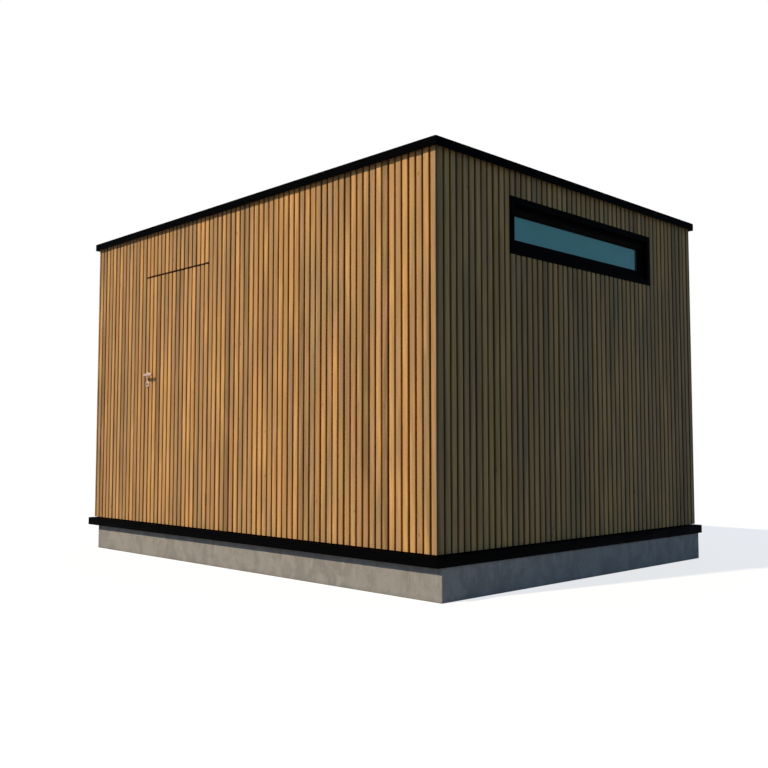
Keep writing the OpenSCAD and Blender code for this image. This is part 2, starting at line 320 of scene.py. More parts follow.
def tinted(tree, factor, base, tint):
    """A colour multiplied by a tint, as far as factor says."""
    return blend(tree, factor, base, tint, "MULTIPLY")


def scaled(tint, factor, dust=0.0):
    """A colour made lighter or darker, with the trace of grey that dust adds."""
    return tuple(min(1.0, part * factor + dust) for part in tint)


def attribute_value(tree, name):
    """A value that the boards carry."""
    return add(tree, "ShaderNodeAttribute", attribute_name=name).outputs["Fac"]


def stretched(tree, vector, scale):
    """A vector scaled along each axis."""
    node = add(tree, "ShaderNodeMapping", {"Vector": vector, "Scale": scale})
    return node.outputs["Vector"]


def noise(tree, vector, scale, detail, roughness, distortion=0.0):
    """The value of a noise texture."""
    node = add(
        tree, "ShaderNodeTexNoise",
        {"Vector": vector, "Scale": scale, "Detail": detail, "Roughness": roughness,
         "Distortion": distortion},
    )
    return node.outputs["Fac"]


def drawn_noise(tree, vector, scales, detail, roughness, distortion=0.0):
    """Noise with its own scale along each axis."""
    return noise(tree, stretched(tree, vector, scales), 1.0, detail, roughness, distortion)


def shader_group(name, inputs, outputs):
    """An empty shader node group, with what it is given and what it puts out."""
    group = bpy.data.node_groups.new(name, "ShaderNodeTree")
    for label, kind, default in inputs:
        socket = group.interface.new_socket(label, in_out="INPUT", socket_type=kind)
        if default is not None:
            socket.default_value = default
    for label, kind in outputs:
        group.interface.new_socket(label, in_out="OUTPUT", socket_type=kind)
    given = group.nodes.new("NodeGroupInput").outputs
    result = group.nodes.new("NodeGroupOutput").inputs
    return group, given, result


def use_group(tree, name, **inputs):
    """Places a shader group and gives its outputs. Underscores stand for spaces."""
    named = {key.replace("_", " "): value for key, value in inputs.items()}
    return add(tree, "ShaderNodeGroup", named, node_tree=bpy.data.node_groups[name]).outputs


# ------------------------------------------------------------ shader groups


def make_grain_group():
    """Timber grain with its fibres along Z: fibres, broad figure and knots."""
    group, given, result = shader_group(
        "timber_grain",
        [("Vector", VECTOR, None), ("Fibres", FLOAT, 420.0), ("Figures", FLOAT, 60.0),
         ("Knot share", FLOAT, 0.5)],
        [("Fibre", FLOAT), ("Figure", FLOAT), ("Knot", FLOAT), ("Height", FLOAT)],
    )
    long_vector = stretched(group, given["Vector"], (1.0, 1.0, 0.02))
    fibre = noise(group, long_vector, given["Fibres"], detail=3.0, roughness=0.7)
    broad_vector = stretched(group, given["Vector"], (1.0, 1.0, 0.045))
    figure = noise(group, broad_vector, given["Figures"], detail=3.0, roughness=0.55, distortion=0.6)
    knot_vector = stretched(group, given["Vector"], (15.0, 15.0, 7.0))
    cells = add(group, "ShaderNodeTexVoronoi", {"Vector": knot_vector, "Scale": 1.0})
    eye = ramp(group, cells.outputs["Distance"], 0.05, 0.12, 1.0, 0.0)
    chosen = ramp(
        group, add(group, "ShaderNodeSeparateColor", {"Color": cells.outputs["Color"]}).outputs[0],
        maths(group, "SUBTRACT", 1.0, given["Knot share"]), 1.0, 0.0, 4.0,
    )
    knot = maths(group, "MULTIPLY", eye, chosen, clamp=True)
    height = maths(group, "SUBTRACT", fibre, times(group, knot, 0.5))
    for label, socket in (("Fibre", fibre), ("Figure", figure), ("Knot", knot), ("Height", height)):
        group.links.new(socket, result[label])


def make_mottle_group():
    """Slow patches with fine specks, for stone, coatings and sheets."""
    group, given, result = shader_group(
        "mottle",
        [("Vector", VECTOR, None), ("Patches", FLOAT, 3.0), ("Specks", FLOAT, 120.0)],
        [("Patch", FLOAT), ("Speck", FLOAT)],
    )
    patch = noise(group, given["Vector"], given["Patches"], detail=5.0, roughness=0.6, distortion=0.4)
    speck = noise(group, given["Vector"], given["Specks"], detail=3.0, roughness=0.7)
    group.links.new(ramp(group, patch, 0.3, 0.7), result["Patch"])
    group.links.new(ramp(group, speck, 0.25, 0.75), result["Speck"])


# ---------------------------------------------------------------- materials

# Tints of the slats' timber, and painted shade on the house's corners
LATE_WOOD = (0.70, 0.60, 0.48)
KNOT = (0.20, 0.09, 0.035)
# Painted shade: a dark line on the arris at each corner of the house
PAINTED_CORNER_SHADE = (0.30, 0.26, 0.20)
SAWN_END = (0.50, 0.26, 0.09)
# Tints of the boards' grain
BOARD_FIGURE = (0.60, 0.50, 0.40)
BOARD_FIBRE = (0.72, 0.64, 0.56)
# Concrete's fine specks and its voids
SPECKS = (0.84, 0.83, 0.82)
VOIDS = (0.12, 0.11, 0.10)
# Dust on the roof sheet and the rims of dried puddles
ROOF_DUST = (0.13, 0.125, 0.115)
PUDDLE_RIM = (0.17, 0.16, 0.145)
# Finishes that aren't in the settings, clean and worn
BRIGHT_METAL, SCUFFED_METAL = (0.50, 0.50, 0.50), (0.36, 0.355, 0.35)
RUBBER, DUSTY_RUBBER = (0.006, 0.006, 0.006), (0.012, 0.012, 0.012)


def principled(name):
    """A new material's tree and Principled shader."""
    material = bpy.data.materials.new(name)
    material.use_nodes = True
    tree = material.node_tree
    return tree, next(node for node in tree.nodes if node.type == "BSDF_PRINCIPLED")


def new_material(name):
    """The same with the object's coordinates, which every finish is laid out by."""
    tree, shader = principled(name)
    return tree, shader, add(tree, "ShaderNodeTexCoord").outputs["Object"]


def set_shader(tree, shader, **values):
    """Sets or links the shader's inputs. Underscores stand for spaces."""
    for key, value in values.items():
        socket = shader.inputs[key.replace("_", " ")]
        if isinstance(value, NodeSocket):
            tree.links.new(value, socket)
        elif isinstance(socket.default_value, float):
            socket.default_value = value
        else:
            socket.default_value = (*value, 1.0)


def bump(tree, shader, height, strength, distance):
    """Relief from a height value."""
    node = add(
        tree, "ShaderNodeBump", {"Height": height, "Strength": strength, "Distance": distance}
    )
    tree.links.new(node.outputs["Normal"], shader.inputs["Normal"])


def board_place(tree, place, turn):
    """Object coordinates turned so that the fibres run along Z, shifted for each board."""
    turned = add(tree, "ShaderNodeMapping", {"Vector": place, "Rotation": turn})
    tone = attribute_value(tree, "board_tone")
    # Far enough, in metres, that boards of different tones show different grain
    across, along = 37.0, 91.0
    shift = add(
        tree, "ShaderNodeCombineXYZ", {"X": times(tree, tone, across), "Z": times(tree, tone, along)}
    )
    moved = add(
        tree, "ShaderNodeVectorMath", {0: turned.outputs["Vector"], 1: shift.outputs["Vector"]},
        operation="ADD",
    )
    return moved.outputs["Vector"], tone


def slat_material(colours):
    """Slats: each has its own tone, has painted shade and warm bounced light on its sides in the gaps,
    and has greyed by its wall, partly as painted shade of the walls out of the sun.
    """
    tree, shader, place = new_material("oiled_larch")
    vector, tone = board_place(tree, place, UPRIGHT)
    grain = use_group(tree, "timber_grain", Vector=vector, Knot_share=0.25)
    timber = slat_timber(tree, vector, tone, grain, colours)
    # Whether a place is on one of the sides in the gaps, and how far in from the front it is, so that
    # the painted shade there deepens inwards
    side = ramp(tree, maths(tree, "ABSOLUTE", attribute_value(tree, "across")), 0.77, 0.94)
    inner = ramp(tree, attribute_value(tree, "deep"), -0.98, 0.0, 0.7, 1.0)
    greyed = attribute_value(tree, "weather")
    # The sides in the gaps are painted darker and warmer: shade, with warm light bounced between the
    # slats
    joint = blend(tree, greyed, colours.joint, colours.greyed_gap_shade)
    gap_shaded = tinted(tree, times(tree, side, inner), timber, joint)
    # The greying tint: partly the timber's greying, partly painted shade of the walls out of the sun
    greyed_and_shaded = tinted(tree, greyed, gap_shaded, colours.weather)
    shaded = slat_corners(tree, place, timber, greyed_and_shaded, colours)
    set_shader(
        tree, shader, Base_Color=shaded,
        Roughness=ramp(tree, grain["Fibre"], 0.3, 0.7, 0.55, 0.75), Specular_IOR_Level=0.22,
    )
    bump(tree, shader, grain["Height"], strength=0.35, distance=0.0012)


def slat_timber(tree, vector, tone, grain, colours):
    """The timber of a slat: its tone, which drifts along it, with streaks and knots."""
    drift = drawn_noise(tree, vector, (9.0, 9.0, 0.8), detail=2.0, roughness=0.5)
    shade = maths(tree, "ADD", tone, times(tree, maths(tree, "SUBTRACT", drift, 0.5), 0.9))
    tones = add(tree, "ShaderNodeValToRGB", {"Fac": shade})
    fill_ramp(tones.color_ramp, [
        (0.00, colours.umber), (0.15, colours.tan), (0.30, colours.honey), (0.44, colours.ash),
        (0.57, colours.amber), (0.70, colours.tan), (0.85, colours.honey), (1.00, colours.amber),
    ])
    hue = drawn_noise(tree, vector, (24.0, 24.0, 1.7), detail=2.0, roughness=0.5)
    rosy = blend(tree, ramp(tree, hue, 0.52, 0.70, 0.0, 0.6), tones.outputs["Color"], colours.rose)
    hued = blend(tree, ramp(tree, hue, 0.30, 0.46, 0.6, 0.0), rosy, colours.olive)
    streaked = tinted(tree, ramp(tree, grain["Fibre"], 0.35, 0.68, 0.0, 0.45), hued, LATE_WOOD)
    figured = tinted(tree, ramp(tree, grain["Figure"], 0.35, 0.7, 0.0, 0.5), streaked, LATE_WOOD)
    return blend(tree, times(tree, grain["Knot"], 0.55), figured, KNOT)


def slat_corners(tree, place, timber, greyed_and_shaded, colours):
    """The faces that differ from a slat's front and its sides in the gaps.

    They are the flanks at the ends of the long walls, with the greying tint that is partly painted
    shade, the arris beside them with a painted dark line of shade, the side at the door's latch edge
    without the painted gap shade, and the sawn ends.
    """
    end_wall, long_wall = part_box("right_cladding")[1].x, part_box("back_cladding")[1].y
    row_start = long_wall - bpy.context.scene.house_cladding.slat_depth
    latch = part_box("door_cladding")[0].x
    axes = add(tree, "ShaderNodeSeparateXYZ", {"Vector": place}).outputs
    out_x, out_y = (maths(tree, "ABSOLUTE", axes[axis]) for axis in "XY")
    # The end slats' outer flanks take the whole greying tint, partly greying and partly painted shade
    flank = times(tree, past(tree, out_x, end_wall, -5, -2), past(tree, out_y, row_start, -1, 1))
    flanked = blend(tree, flank, greyed_and_shaded, tinted(tree, 1.0, timber, colours.weather))
    # Painted shade: a dark line on the arris at the corner
    arris = times(
        tree, past(tree, out_x, end_wall, -2.5, -1.5), past(tree, out_y, long_wall, -16, -12)
    )
    cornered = tinted(tree, arris, flanked, PAINTED_CORNER_SHADE)
    # The side at the door's latch edge is left without the painted shade of the gaps and the greying
    beside_latch = times(
        tree, past(tree, axes["X"], latch, -6, -4), past(tree, axes["X"], latch, 1, 3, 1.0, 0.0)
    )
    on_door_wall = ramp(tree, axes["Y"], -0.1, 0.1, 1.0, 0.0)
    latched = blend(tree, times(tree, beside_latch, on_door_wall), cornered, timber)
    normal = add(tree, "ShaderNodeNewGeometry").outputs["Normal"]
    upright = add(tree, "ShaderNodeSeparateXYZ", {"Vector": normal}).outputs["Z"]
    sawn_end = ramp(tree, maths(tree, "ABSOLUTE", upright), 0.5, 0.8)
    return tinted(tree, sawn_end, latched, SAWN_END)


def past(tree, value, edge, fade_start, fade_end, before=0.0, after=1.0):
    """Fades from before to after near an edge, between two distances in millimetres from it."""
    return ramp(tree, value, edge + fade_start / 1000, edge + fade_end / 1000, before, after)


def fill_ramp(color_ramp, stops):
    """Gives a colour ramp its stops, each a place and a colour."""
    elements = color_ramp.elements
    while len(elements) < len(stops):
        elements.new(0.5)
    for element, (position, tone) in zip(elements, stops):
        element.position = position
        element.color = (*tone, 1.0)


def board_material(name, tint, turn, sheen, contrast, knots=0.4):
    """Sawn or planed boards of one tint, with grain along the turned Z."""
    tree, shader, place = new_material(name)
    vector, tone = board_place(tree, place, turn)
    grain = use_group(tree, "timber_grain", Vector=vector, Fibres=300.0, Knot_share=knots)
    varied = blend(tree, times(tree, tone, contrast), tint, scaled(tint, 0.62))
    figure = ramp(tree, grain["Figure"], 0.32, 0.7, 0.0, contrast)
    streaked = tinted(tree, figure, varied, BOARD_FIGURE)
    fibre = ramp(tree, grain["Fibre"], 0.35, 0.7, 0.0, contrast)
    fibred = tinted(tree, fibre, streaked, BOARD_FIBRE)
    knotted = blend(tree, grain["Knot"], fibred, scaled(tint, 0.22))
    set_shader(
        tree, shader, Base_Color=knotted, Specular_IOR_Level=0.3,
        Roughness=ramp(tree, grain["Fibre"], 0.3, 0.7, sheen - 0.08, sheen + 0.1),
    )
    bump(tree, shader, grain["Height"], strength=0.25, distance=0.0008)


def concrete_material(colours):
    """Cast concrete: cloudy patches, pale runs from the top, a few drips and small voids."""
    tree, shader, place = new_material("cast_concrete")
    mottle = use_group(tree, "mottle", Vector=place, Patches=4.5, Specks=190.0)
    cloud = drawn_noise(tree, place, (9.0, 9.0, 7.0), detail=7.0, roughness=0.68, distortion=0.5)
    runs = drawn_noise(tree, place, (30.0, 30.0, 2.2), detail=3.0, roughness=0.6, distortion=0.6)
    drips = drawn_noise(tree, place, (34.0, 34.0, 8.0), detail=3.0, roughness=0.62, distortion=1.2)
    pores = add(tree, "ShaderNodeTexVoronoi", {"Vector": place, "Scale": 38.0})
    pore = ramp(tree, pores.outputs["Distance"], 0.05, 0.11, 1.0, 0.0)
    height = add(tree, "ShaderNodeSeparateXYZ", {"Vector": place}).outputs["Z"]
    pale = scaled(colours.concrete, 1.16)
    dark = scaled(colours.concrete, 0.84)
    base = blend(tree, ramp(tree, cloud, 0.40, 0.60), dark, pale)
    patched = blend(tree, times(tree, mottle["Patch"], 0.55), base, colours.concrete)
    specked = tinted(tree, times(tree, mottle["Speck"], 0.30), patched, SPECKS)
    reach = ramp(tree, maths(tree, "ADD", height, times(tree, cloud, 0.12)), 0.10, 0.26)
    run = times(tree, ramp(tree, runs, 0.56, 0.70, 0.0, 0.6), reach)
    washed = blend(tree, run, specked, scaled(colours.concrete, 1.35))
    drip = times(tree, ramp(tree, drips, 0.63, 0.74), ramp(tree, mottle["Patch"], 0.5, 0.9))
    dripped = blend(tree, times(tree, drip, 0.7), washed, scaled(dark, 0.52))
    # Darker towards the bottom of the plinth, with a ragged edge
    ragged = maths(tree, "ADD", height, times(tree, cloud, 0.05))
    darker_foot = ramp(tree, ragged, 0.026, 0.060, 0.30, 0.0)
    footed = blend(tree, darker_foot, dripped, scaled(colours.concrete, 0.55))
    voided = blend(tree, times(tree, pore, 0.6), footed, VOIDS)
    set_shader(tree, shader, Base_Color=voided, Roughness=0.9, Specular_IOR_Level=0.2)
    relief = maths(tree, "SUBTRACT", times(tree, mottle["Speck"], 0.35), pore)
    bump(tree, shader, relief, strength=0.45, distance=0.0020)


def patchy_material(name, patches, specks, tint, worn):
    """A finish that goes in slow patches from its tint to a worn one."""
    tree, shader, place = new_material(name)
    mottle = use_group(tree, "mottle", Vector=place, Patches=patches, Specks=specks)
    set_shader(tree, shader, Base_Color=blend(tree, mottle["Patch"], tint, worn))
    return tree, shader, place, mottle


def coated_metal(name, tint, roughness):
    """Powder-coated metal with a fine orange-peel skin and a trace of dust."""
    tree, shader, _, mottle = patchy_material(
        name, patches=5.0, specks=900.0, tint=tint, worn=scaled(tint, 1.9, dust=0.0002)
    )
    set_shader(
        tree, shader, Specular_IOR_Level=0.012,
        Roughness=ramp(tree, mottle["Patch"], 0.0, 1.0, roughness, roughness + 0.12),
    )
    bump(tree, shader, mottle["Speck"], strength=0.12, distance=0.0003)


def dark_finish(name, tint):
    """A dull dark finish: wall and roof panels, floor base, battens and the door's sheet."""
    tree, shader, _, mottle = patchy_material(
        name, patches=4.0, specks=300.0, tint=tint, worn=scaled(tint, 1.7)
    )
    set_shader(tree, shader, Roughness=0.85, Specular_IOR_Level=0.15)
    bump(tree, shader, mottle["Speck"], strength=0.3, distance=0.0006)


def roof_sheet_material(colours):
    """Roof sheet with grit and the pale rings that dried puddles leave."""
    tree, shader, place = new_material("roof_sheet")
    mottle = use_group(tree, "mottle", Vector=place, Patches=1.1, Specks=260.0)
    puddle = drawn_noise(tree, place, (0.9, 0.9, 0.9), detail=1.0, roughness=0.4, distortion=0.2)
    rim = maths(tree, "ABSOLUTE", maths(tree, "SUBTRACT", puddle, 0.56))
    ring = times(
        tree, ramp(tree, rim, 0.0, 0.014, 0.15, 0.0), ramp(tree, mottle["Patch"], 0.2, 0.9)
    )
    grit = blend(tree, mottle["Speck"], colours.roof_sheet, scaled(colours.roof_sheet, 1.8))
    dusty = blend(tree, times(tree, mottle["Patch"], 0.22), grit, ROOF_DUST)
    ringed = blend(tree, ring, dusty, PUDDLE_RIM)
    set_shader(tree, shader, Base_Color=ringed, Roughness=0.82, Specular_IOR_Level=0.25)
    bump(tree, shader, mottle["Speck"], strength=0.5, distance=0.0012)


def glass_material(colours):
    """Tinted double glazing with a faint film of dust; its teal colour is partly tint and partly
    painted reflection of the sky.
    """
    tree, shader, _, mottle = patchy_material(
        "tinted_glass", patches=1.6, specks=60.0, tint=colours.glass,
        worn=scaled(colours.glass, 1.12, dust=0.01),
    )
    set_shader(
        tree, shader, IOR=1.45, Transmission_Weight=0.35,
        Roughness=ramp(tree, mottle["Patch"], 0.0, 1.0, 0.03, 0.07),
    )


def brushed_steel(colours):
    """Satin stainless steel, brushed along X, with a warm tint that is painted reflection of the sun
    and the timber around it.
    """
    tree, shader, place, _ = patchy_material(
        "satin_steel", patches=30.0, specks=500.0, tint=colours.steel, worn=scaled(colours.steel, 0.88)
    )
    brushed = drawn_noise(tree, place, (60.0, 2600.0, 2600.0), detail=3.0, roughness=0.6)
    set_shader(tree, shader, Metallic=0.6, Roughness=ramp(tree, brushed, 0.3, 0.7, 0.36, 0.54))
    bump(tree, shader, brushed, strength=0.08, distance=0.0002)


def mill_aluminium():
    """Plain aluminium of the threshold, scuffed by feet."""
    tree, shader, place, mottle = patchy_material(
        "mill_aluminium", patches=12.0, specks=240.0, tint=BRIGHT_METAL, worn=SCUFFED_METAL
    )
    drawn = drawn_noise(tree, place, (6.0, 900.0, 900.0), detail=3.0, roughness=0.6)
    scuffs = times(tree, drawn, mottle["Speck"])
    set_shader(tree, shader, Metallic=1.0, Roughness=ramp(tree, scuffs, 0.1, 0.6, 0.32, 0.55))
    bump(tree, shader, drawn, strength=0.1, distance=0.0003)


def black_rubber():
    """Seals, gaskets and the keyways' dark insides."""
    tree, shader, _, mottle = patchy_material(
        "black_rubber", patches=20.0, specks=700.0, tint=RUBBER, worn=DUSTY_RUBBER
    )
    set_shader(
        tree, shader, Specular_IOR_Level=0.2,
        Roughness=ramp(tree, mottle["Speck"], 0.0, 1.0, 0.6, 0.75),
    )
    bump(tree, shader, mottle["Speck"], strength=0.1, distance=0.0002)


def make_materials(colours):
    """Makes every finish of the house."""
    make_grain_group()
    make_mottle_group()
    slat_material(colours)
    board_material("spruce_lining", colours.lining, UPRIGHT, sheen=0.55, contrast=0.5)
    board_material("spruce_ceiling", colours.lining, ALONG_X, sheen=0.55, contrast=0.5)
    board_material("oiled_floor", colours.floor, ALONG_X, sheen=0.42, contrast=0.6)
    board_material("stained_timber", colours.stained, UPRIGHT, sheen=0.5, contrast=0.4, knots=0.0)
    concrete_material(colours)
    coated_metal("black_coating", colours.black_metal, roughness=0.55)
    coated_metal("bronze_coating", colours.bronze, roughness=0.5)
    dark_finish("wind_sheet", colours.membrane)
    dark_finish("stained_battens", scaled(colours.membrane, 0.8))
    roof_sheet_material(colours)
    glass_material(colours)
    brushed_steel(colours)
    mill_aluminium()
    black_rubber()


# Finishes of the frame's own pieces. Some of these pieces are replaced later.
CAD_FINISHES = {
    "cast_concrete": ["plinth"],
    "black_coating": [
        *(f"ledge_{side}" for side in SIDES), *(f"roof_trim_{side}" for side in SIDES),
        "window_surround", "window_frame",
    ],
    "bronze_coating": ["frame_hinges", "leaf_hinges"],
    "wind_sheet": [
        "front_wall_left", "front_wall_right", "front_wall_over_door",
        "right_wall", "back_wall", "left_wall", "roof_panel",
    ],
    "spruce_ceiling": ["ceiling"],
    "spruce_lining": ["window_lining"],
    "roof_sheet": ["roof_upstand", "roof_membrane"],
    "tinted_glass": ["window_glass"],
    "stained_timber": ["door_jamb_hinge_side", "door_jamb_latch_side", "door_head", "door_leaf"],
    "mill_aluminium": ["threshold"],
    "satin_steel": ["strike_plate", "lock_forend", "spindle"],
}


# ----------------------------------------------------------- mesh helpers


def link(name, mesh):
    """A new object for a mesh, in the scene."""
    piece = bpy.data.objects.new(name, mesh)
    bpy.context.scene.collection.objects.link(piece)
    return piece


def face_outwards(shape):
    """Joins the points that meet and turns every face of a closed shape outwards."""
    bmesh.ops.remove_doubles(shape, verts=shape.verts, dist=1e-6)
    bmesh.ops.recalc_face_normals(shape, faces=shape.faces)


def from_bmesh(name, shape, material, smooth_under=None):
    """Turns a bmesh into a closed object, smooth where its faces meet under an angle."""
    face_outwards(shape)
    mesh = bpy.data.meshes.new(name)
    shape.to_mesh(mesh)
    shape.free()
    mesh.materials.append(bpy.data.materials[material])
    if smooth_under is not None:
        mesh.shade_smooth()
        mesh.set_sharp_from_angle(angle=math.radians(smooth_under))
    return link(name, mesh)


def add_block(shape, low, high, bevel=0.0):
    """A block between two corners, with rounded edges."""
    low, high = Vector(low), Vector(high)
    size = high - low
    made = bmesh.ops.create_cube(
        shape, size=1.0,
        matrix=Matrix.Translation((low + high) / 2) @ Matrix.Diagonal((*size, 1.0)),
    )
    if bevel:
        edges = {edge for vert in made["verts"] for edge in vert.link_edges}
        bmesh.ops.bevel(
            shape, geom=list(edges), offset=bevel, segments=2, profile=0.5, affect="EDGES",
            clamp_overlap=True,
        )


def blocks(name, corners, material, bevel):
    """One piece made of separate blocks, each a pair of corners."""
    shape = bmesh.new()
    for low, high in corners:
        part = bmesh.new()
        add_block(part, low, high, bevel)
        mesh = bpy.data.meshes.new(name)
        part.to_mesh(mesh)
        part.free()
        shape.from_mesh(mesh)
        bpy.data.meshes.remove(mesh)
    return from_bmesh(name, shape, material)


def bridge(shape, ring, following):
    """Adds the faces between two rings with as many points."""
    for place, vert in enumerate(ring):
        beyond = (place + 1) % len(ring)
        shape.faces.new([vert, ring[beyond], following[beyond], following[place]])


def turned(shape, profile, centre, way, sides=48):
    """Turns a closed profile of (radius, distance along Y) round an axis along Y."""
    rings = []
    for step in range(sides):
        angle = 2 * math.pi * step / sides
        rings.append([
            shape.verts.new((
                centre[0] + radius * math.cos(angle),
                centre[1] + way * along,
                centre[2] + radius * math.sin(angle),
            ))
            for radius, along in profile
        ])
    for ring, following in zip(rings, [*rings[1:], rings[0]]):
        bridge(shape, ring, following)


def swept_bar(shape, path, radii, sides=24):
    """A round bar along a level path, with its ends closed."""
    rings = []
    upward = Vector((0, 0, 1))
    for place, point in enumerate(path):
        before = path[max(place - 1, 0)]
        after = path[min(place + 1, len(path) - 1)]
        sideways = (after - before).normalized().cross(upward)
        rings.append([
            shape.verts.new(
                point + radii[place] * (
                    sideways * math.cos(2 * math.pi * step / sides)
                    + upward * math.sin(2 * math.pi * step / sides)
                )
            )
            for step in range(sides)
        ])
    for ring, following in zip(rings, rings[1:]):
        bridge(shape, ring, following)
    shape.faces.new(rings[0])
    shape.faces.new(rings[-1])


def eased(profile, radius, steps=3):
    """A closed profile with its corners rounded, as far as its edges allow."""
    points = [Vector(point) for point in profile]
    # The share of an edge that a corner's rounding may take
    most = 0.45
    result = []
    for place, point in enumerate(points):
        before, after = points[place - 1] - point, points[(place + 1) % len(points)] - point
        cut = min(radius, before.length * most, after.length * most)
        start, end = point + before.normalized() * cut, point + after.normalized() * cut
        for step in range(steps + 1):
            way = step / steps
            result.append(start * (1 - way) ** 2 + point * 2 * way * (1 - way) + end * way ** 2)
    return result


def mitred_lengths(name, low, high, profile, place, material, gap, most=10.0):
    """Lengths of one profile round a rectangle, mitred at its corners.

    low and high are the rectangle's corners, profile lists (inset, depth) and
    place turns (across, along, depth) into a position. gap is left at every
    joint, and no length is longer than most.
    """
    corners = [(low[0], low[1]), (high[0], low[1]), (high[0], high[1]), (low[0], high[1])]
    shape = bmesh.new()
    for side in range(4):
        start, end = Vector(corners[side]), Vector(corners[(side + 1) % 4])
        along = (end - start).normalized()
        inwards = Vector((-along.y, along.x))
        reach = (end - start).length
        count = math.ceil(reach / most)
        for part in range(count):
            rings = []
            for joint, way in ((part, 1), (part + 1, -1)):
                ring = []
                for inset, depth in profile:
                    at = reach * joint / count + way * gap / 2
                    if joint == 0:
                        at += inset
                    elif joint == count:
                        at -= inset
                    spot = start + along * at + inwards * inset
                    ring.append(shape.verts.new(place(spot.x, spot.y, depth)))
                rings.append(ring)
            bridge(shape, *rings)
            for ring in rings:
                shape.faces.new(ring)
    return from_bmesh(name, shape, material, smooth_under=35)


# ------------------------------------------------------------------ boards


def make_board_tree():
    """Boards with rounded long edges, one on each vertex of the mesh it is given.

    A vertex marks the middle of a board's foot. Its attributes give the board's
    length, its turn and the share of the full width that it keeps.
    """
    tree = bpy.data.node_groups.new("boards", "GeometryNodeTree")
    tree.is_modifier = True
    for label, kind in (
        ("Feet", GEOMETRY), ("Width", FLOAT), ("Depth", FLOAT), ("Arris", FLOAT),
        ("Wander", FLOAT), ("Weather", FLOAT), ("Seed", "NodeSocketInt"),
        ("Material", "NodeSocketMaterial"),
    ):
        tree.interface.new_socket(label, in_out="INPUT", socket_type=kind)
    tree.interface.new_socket("Boards", in_out="OUTPUT", socket_type=GEOMETRY)
    given = tree.nodes.new("NodeGroupInput").outputs

    def attribute(name, kind):
        node = add(tree, "GeometryNodeInputNamedAttribute", {"Name": name}, data_type=kind)
        return node.outputs["Attribute"]

    def stored(geometry, name, value):
        node = add(
            tree, "GeometryNodeStoreNamedAttribute",
            {"Geometry": geometry, "Name": name, "Value": value}, data_type="FLOAT", domain="POINT",
        )
        return node.outputs[0]

    outline = add(
        tree, "GeometryNodeCurvePrimitiveQuadrilateral",
        {"Width": given["Width"], "Height": given["Depth"]},
    )
    rounded = add(
        tree, "GeometryNodeFilletCurve",
        {"Curve": outline.outputs[0], "Radius": given["Arris"], "Count": 2}, mode="POLY",
    )
    upright = add(tree, "GeometryNodeCurvePrimitiveLine", {"Start": (0, 0, 0), "End": (0, 0, 1)})
    board = add(
        tree, "GeometryNodeCurveToMesh",
        {"Curve": upright.outputs[0], "Profile Curve": rounded.outputs[0], "Fill Caps": True},
    )
    spot = add(
        tree, "ShaderNodeSeparateXYZ", {0: add(tree, "GeometryNodeInputPosition").outputs[0]}
    )
    marked = board.outputs[0]
    for label, axis, size in (("across", "X", "Width"), ("deep", "Y", "Depth")):
        place = maths(tree, "DIVIDE", spot.outputs[axis], times(tree, given[size], 0.5))
        marked = stored(marked, label, place)
    spread = add(
        tree, "FunctionNodeRandomValue",
        {0: (-1, -1, 0), 1: (1, 1, 0), "Seed": given["Seed"]}, data_type="FLOAT_VECTOR",
    )
    offset = add(
        tree, "ShaderNodeVectorMath", {0: spread.outputs[0], "Scale": given["Wander"]},
        operation="SCALE",
    )
    feet = add(
        tree, "GeometryNodeSetPosition",
        {"Geometry": given["Feet"], "Offset": offset.outputs[0]},
    )
    tone = add(
        tree, "FunctionNodeRandomValue",
        {2: 0.0, 3: 1.0, "Seed": maths(tree, "ADD", given["Seed"], 1.0)}, data_type="FLOAT",
    )
    toned = stored(feet.outputs[0], "board_tone", tone.outputs[1])
    toned = stored(toned, "weather", given["Weather"])
    scale = add(
        tree, "ShaderNodeCombineXYZ",
        {"X": attribute("share", "FLOAT"), "Y": 1.0, "Z": attribute("length", "FLOAT")},
    )
    turn = add(tree, "FunctionNodeEulerToRotation", {0: attribute("turn", "FLOAT_VECTOR")})
    placed = add(
        tree, "GeometryNodeInstanceOnPoints",
        {"Points": toned, "Instance": marked, "Rotation": turn.outputs[0],
         "Scale": scale.outputs[0]},
    )
    real = add(tree, "GeometryNodeRealizeInstances", {"Geometry": placed.outputs[0]})
    finished = add(
        tree, "GeometryNodeSetMaterial",
        {"Geometry": real.outputs[0], "Material": given["Material"]},
    )
    result = tree.nodes.new("NodeGroupOutput")
    tree.links.new(finished.outputs[0], result.inputs["Boards"])
    return tree


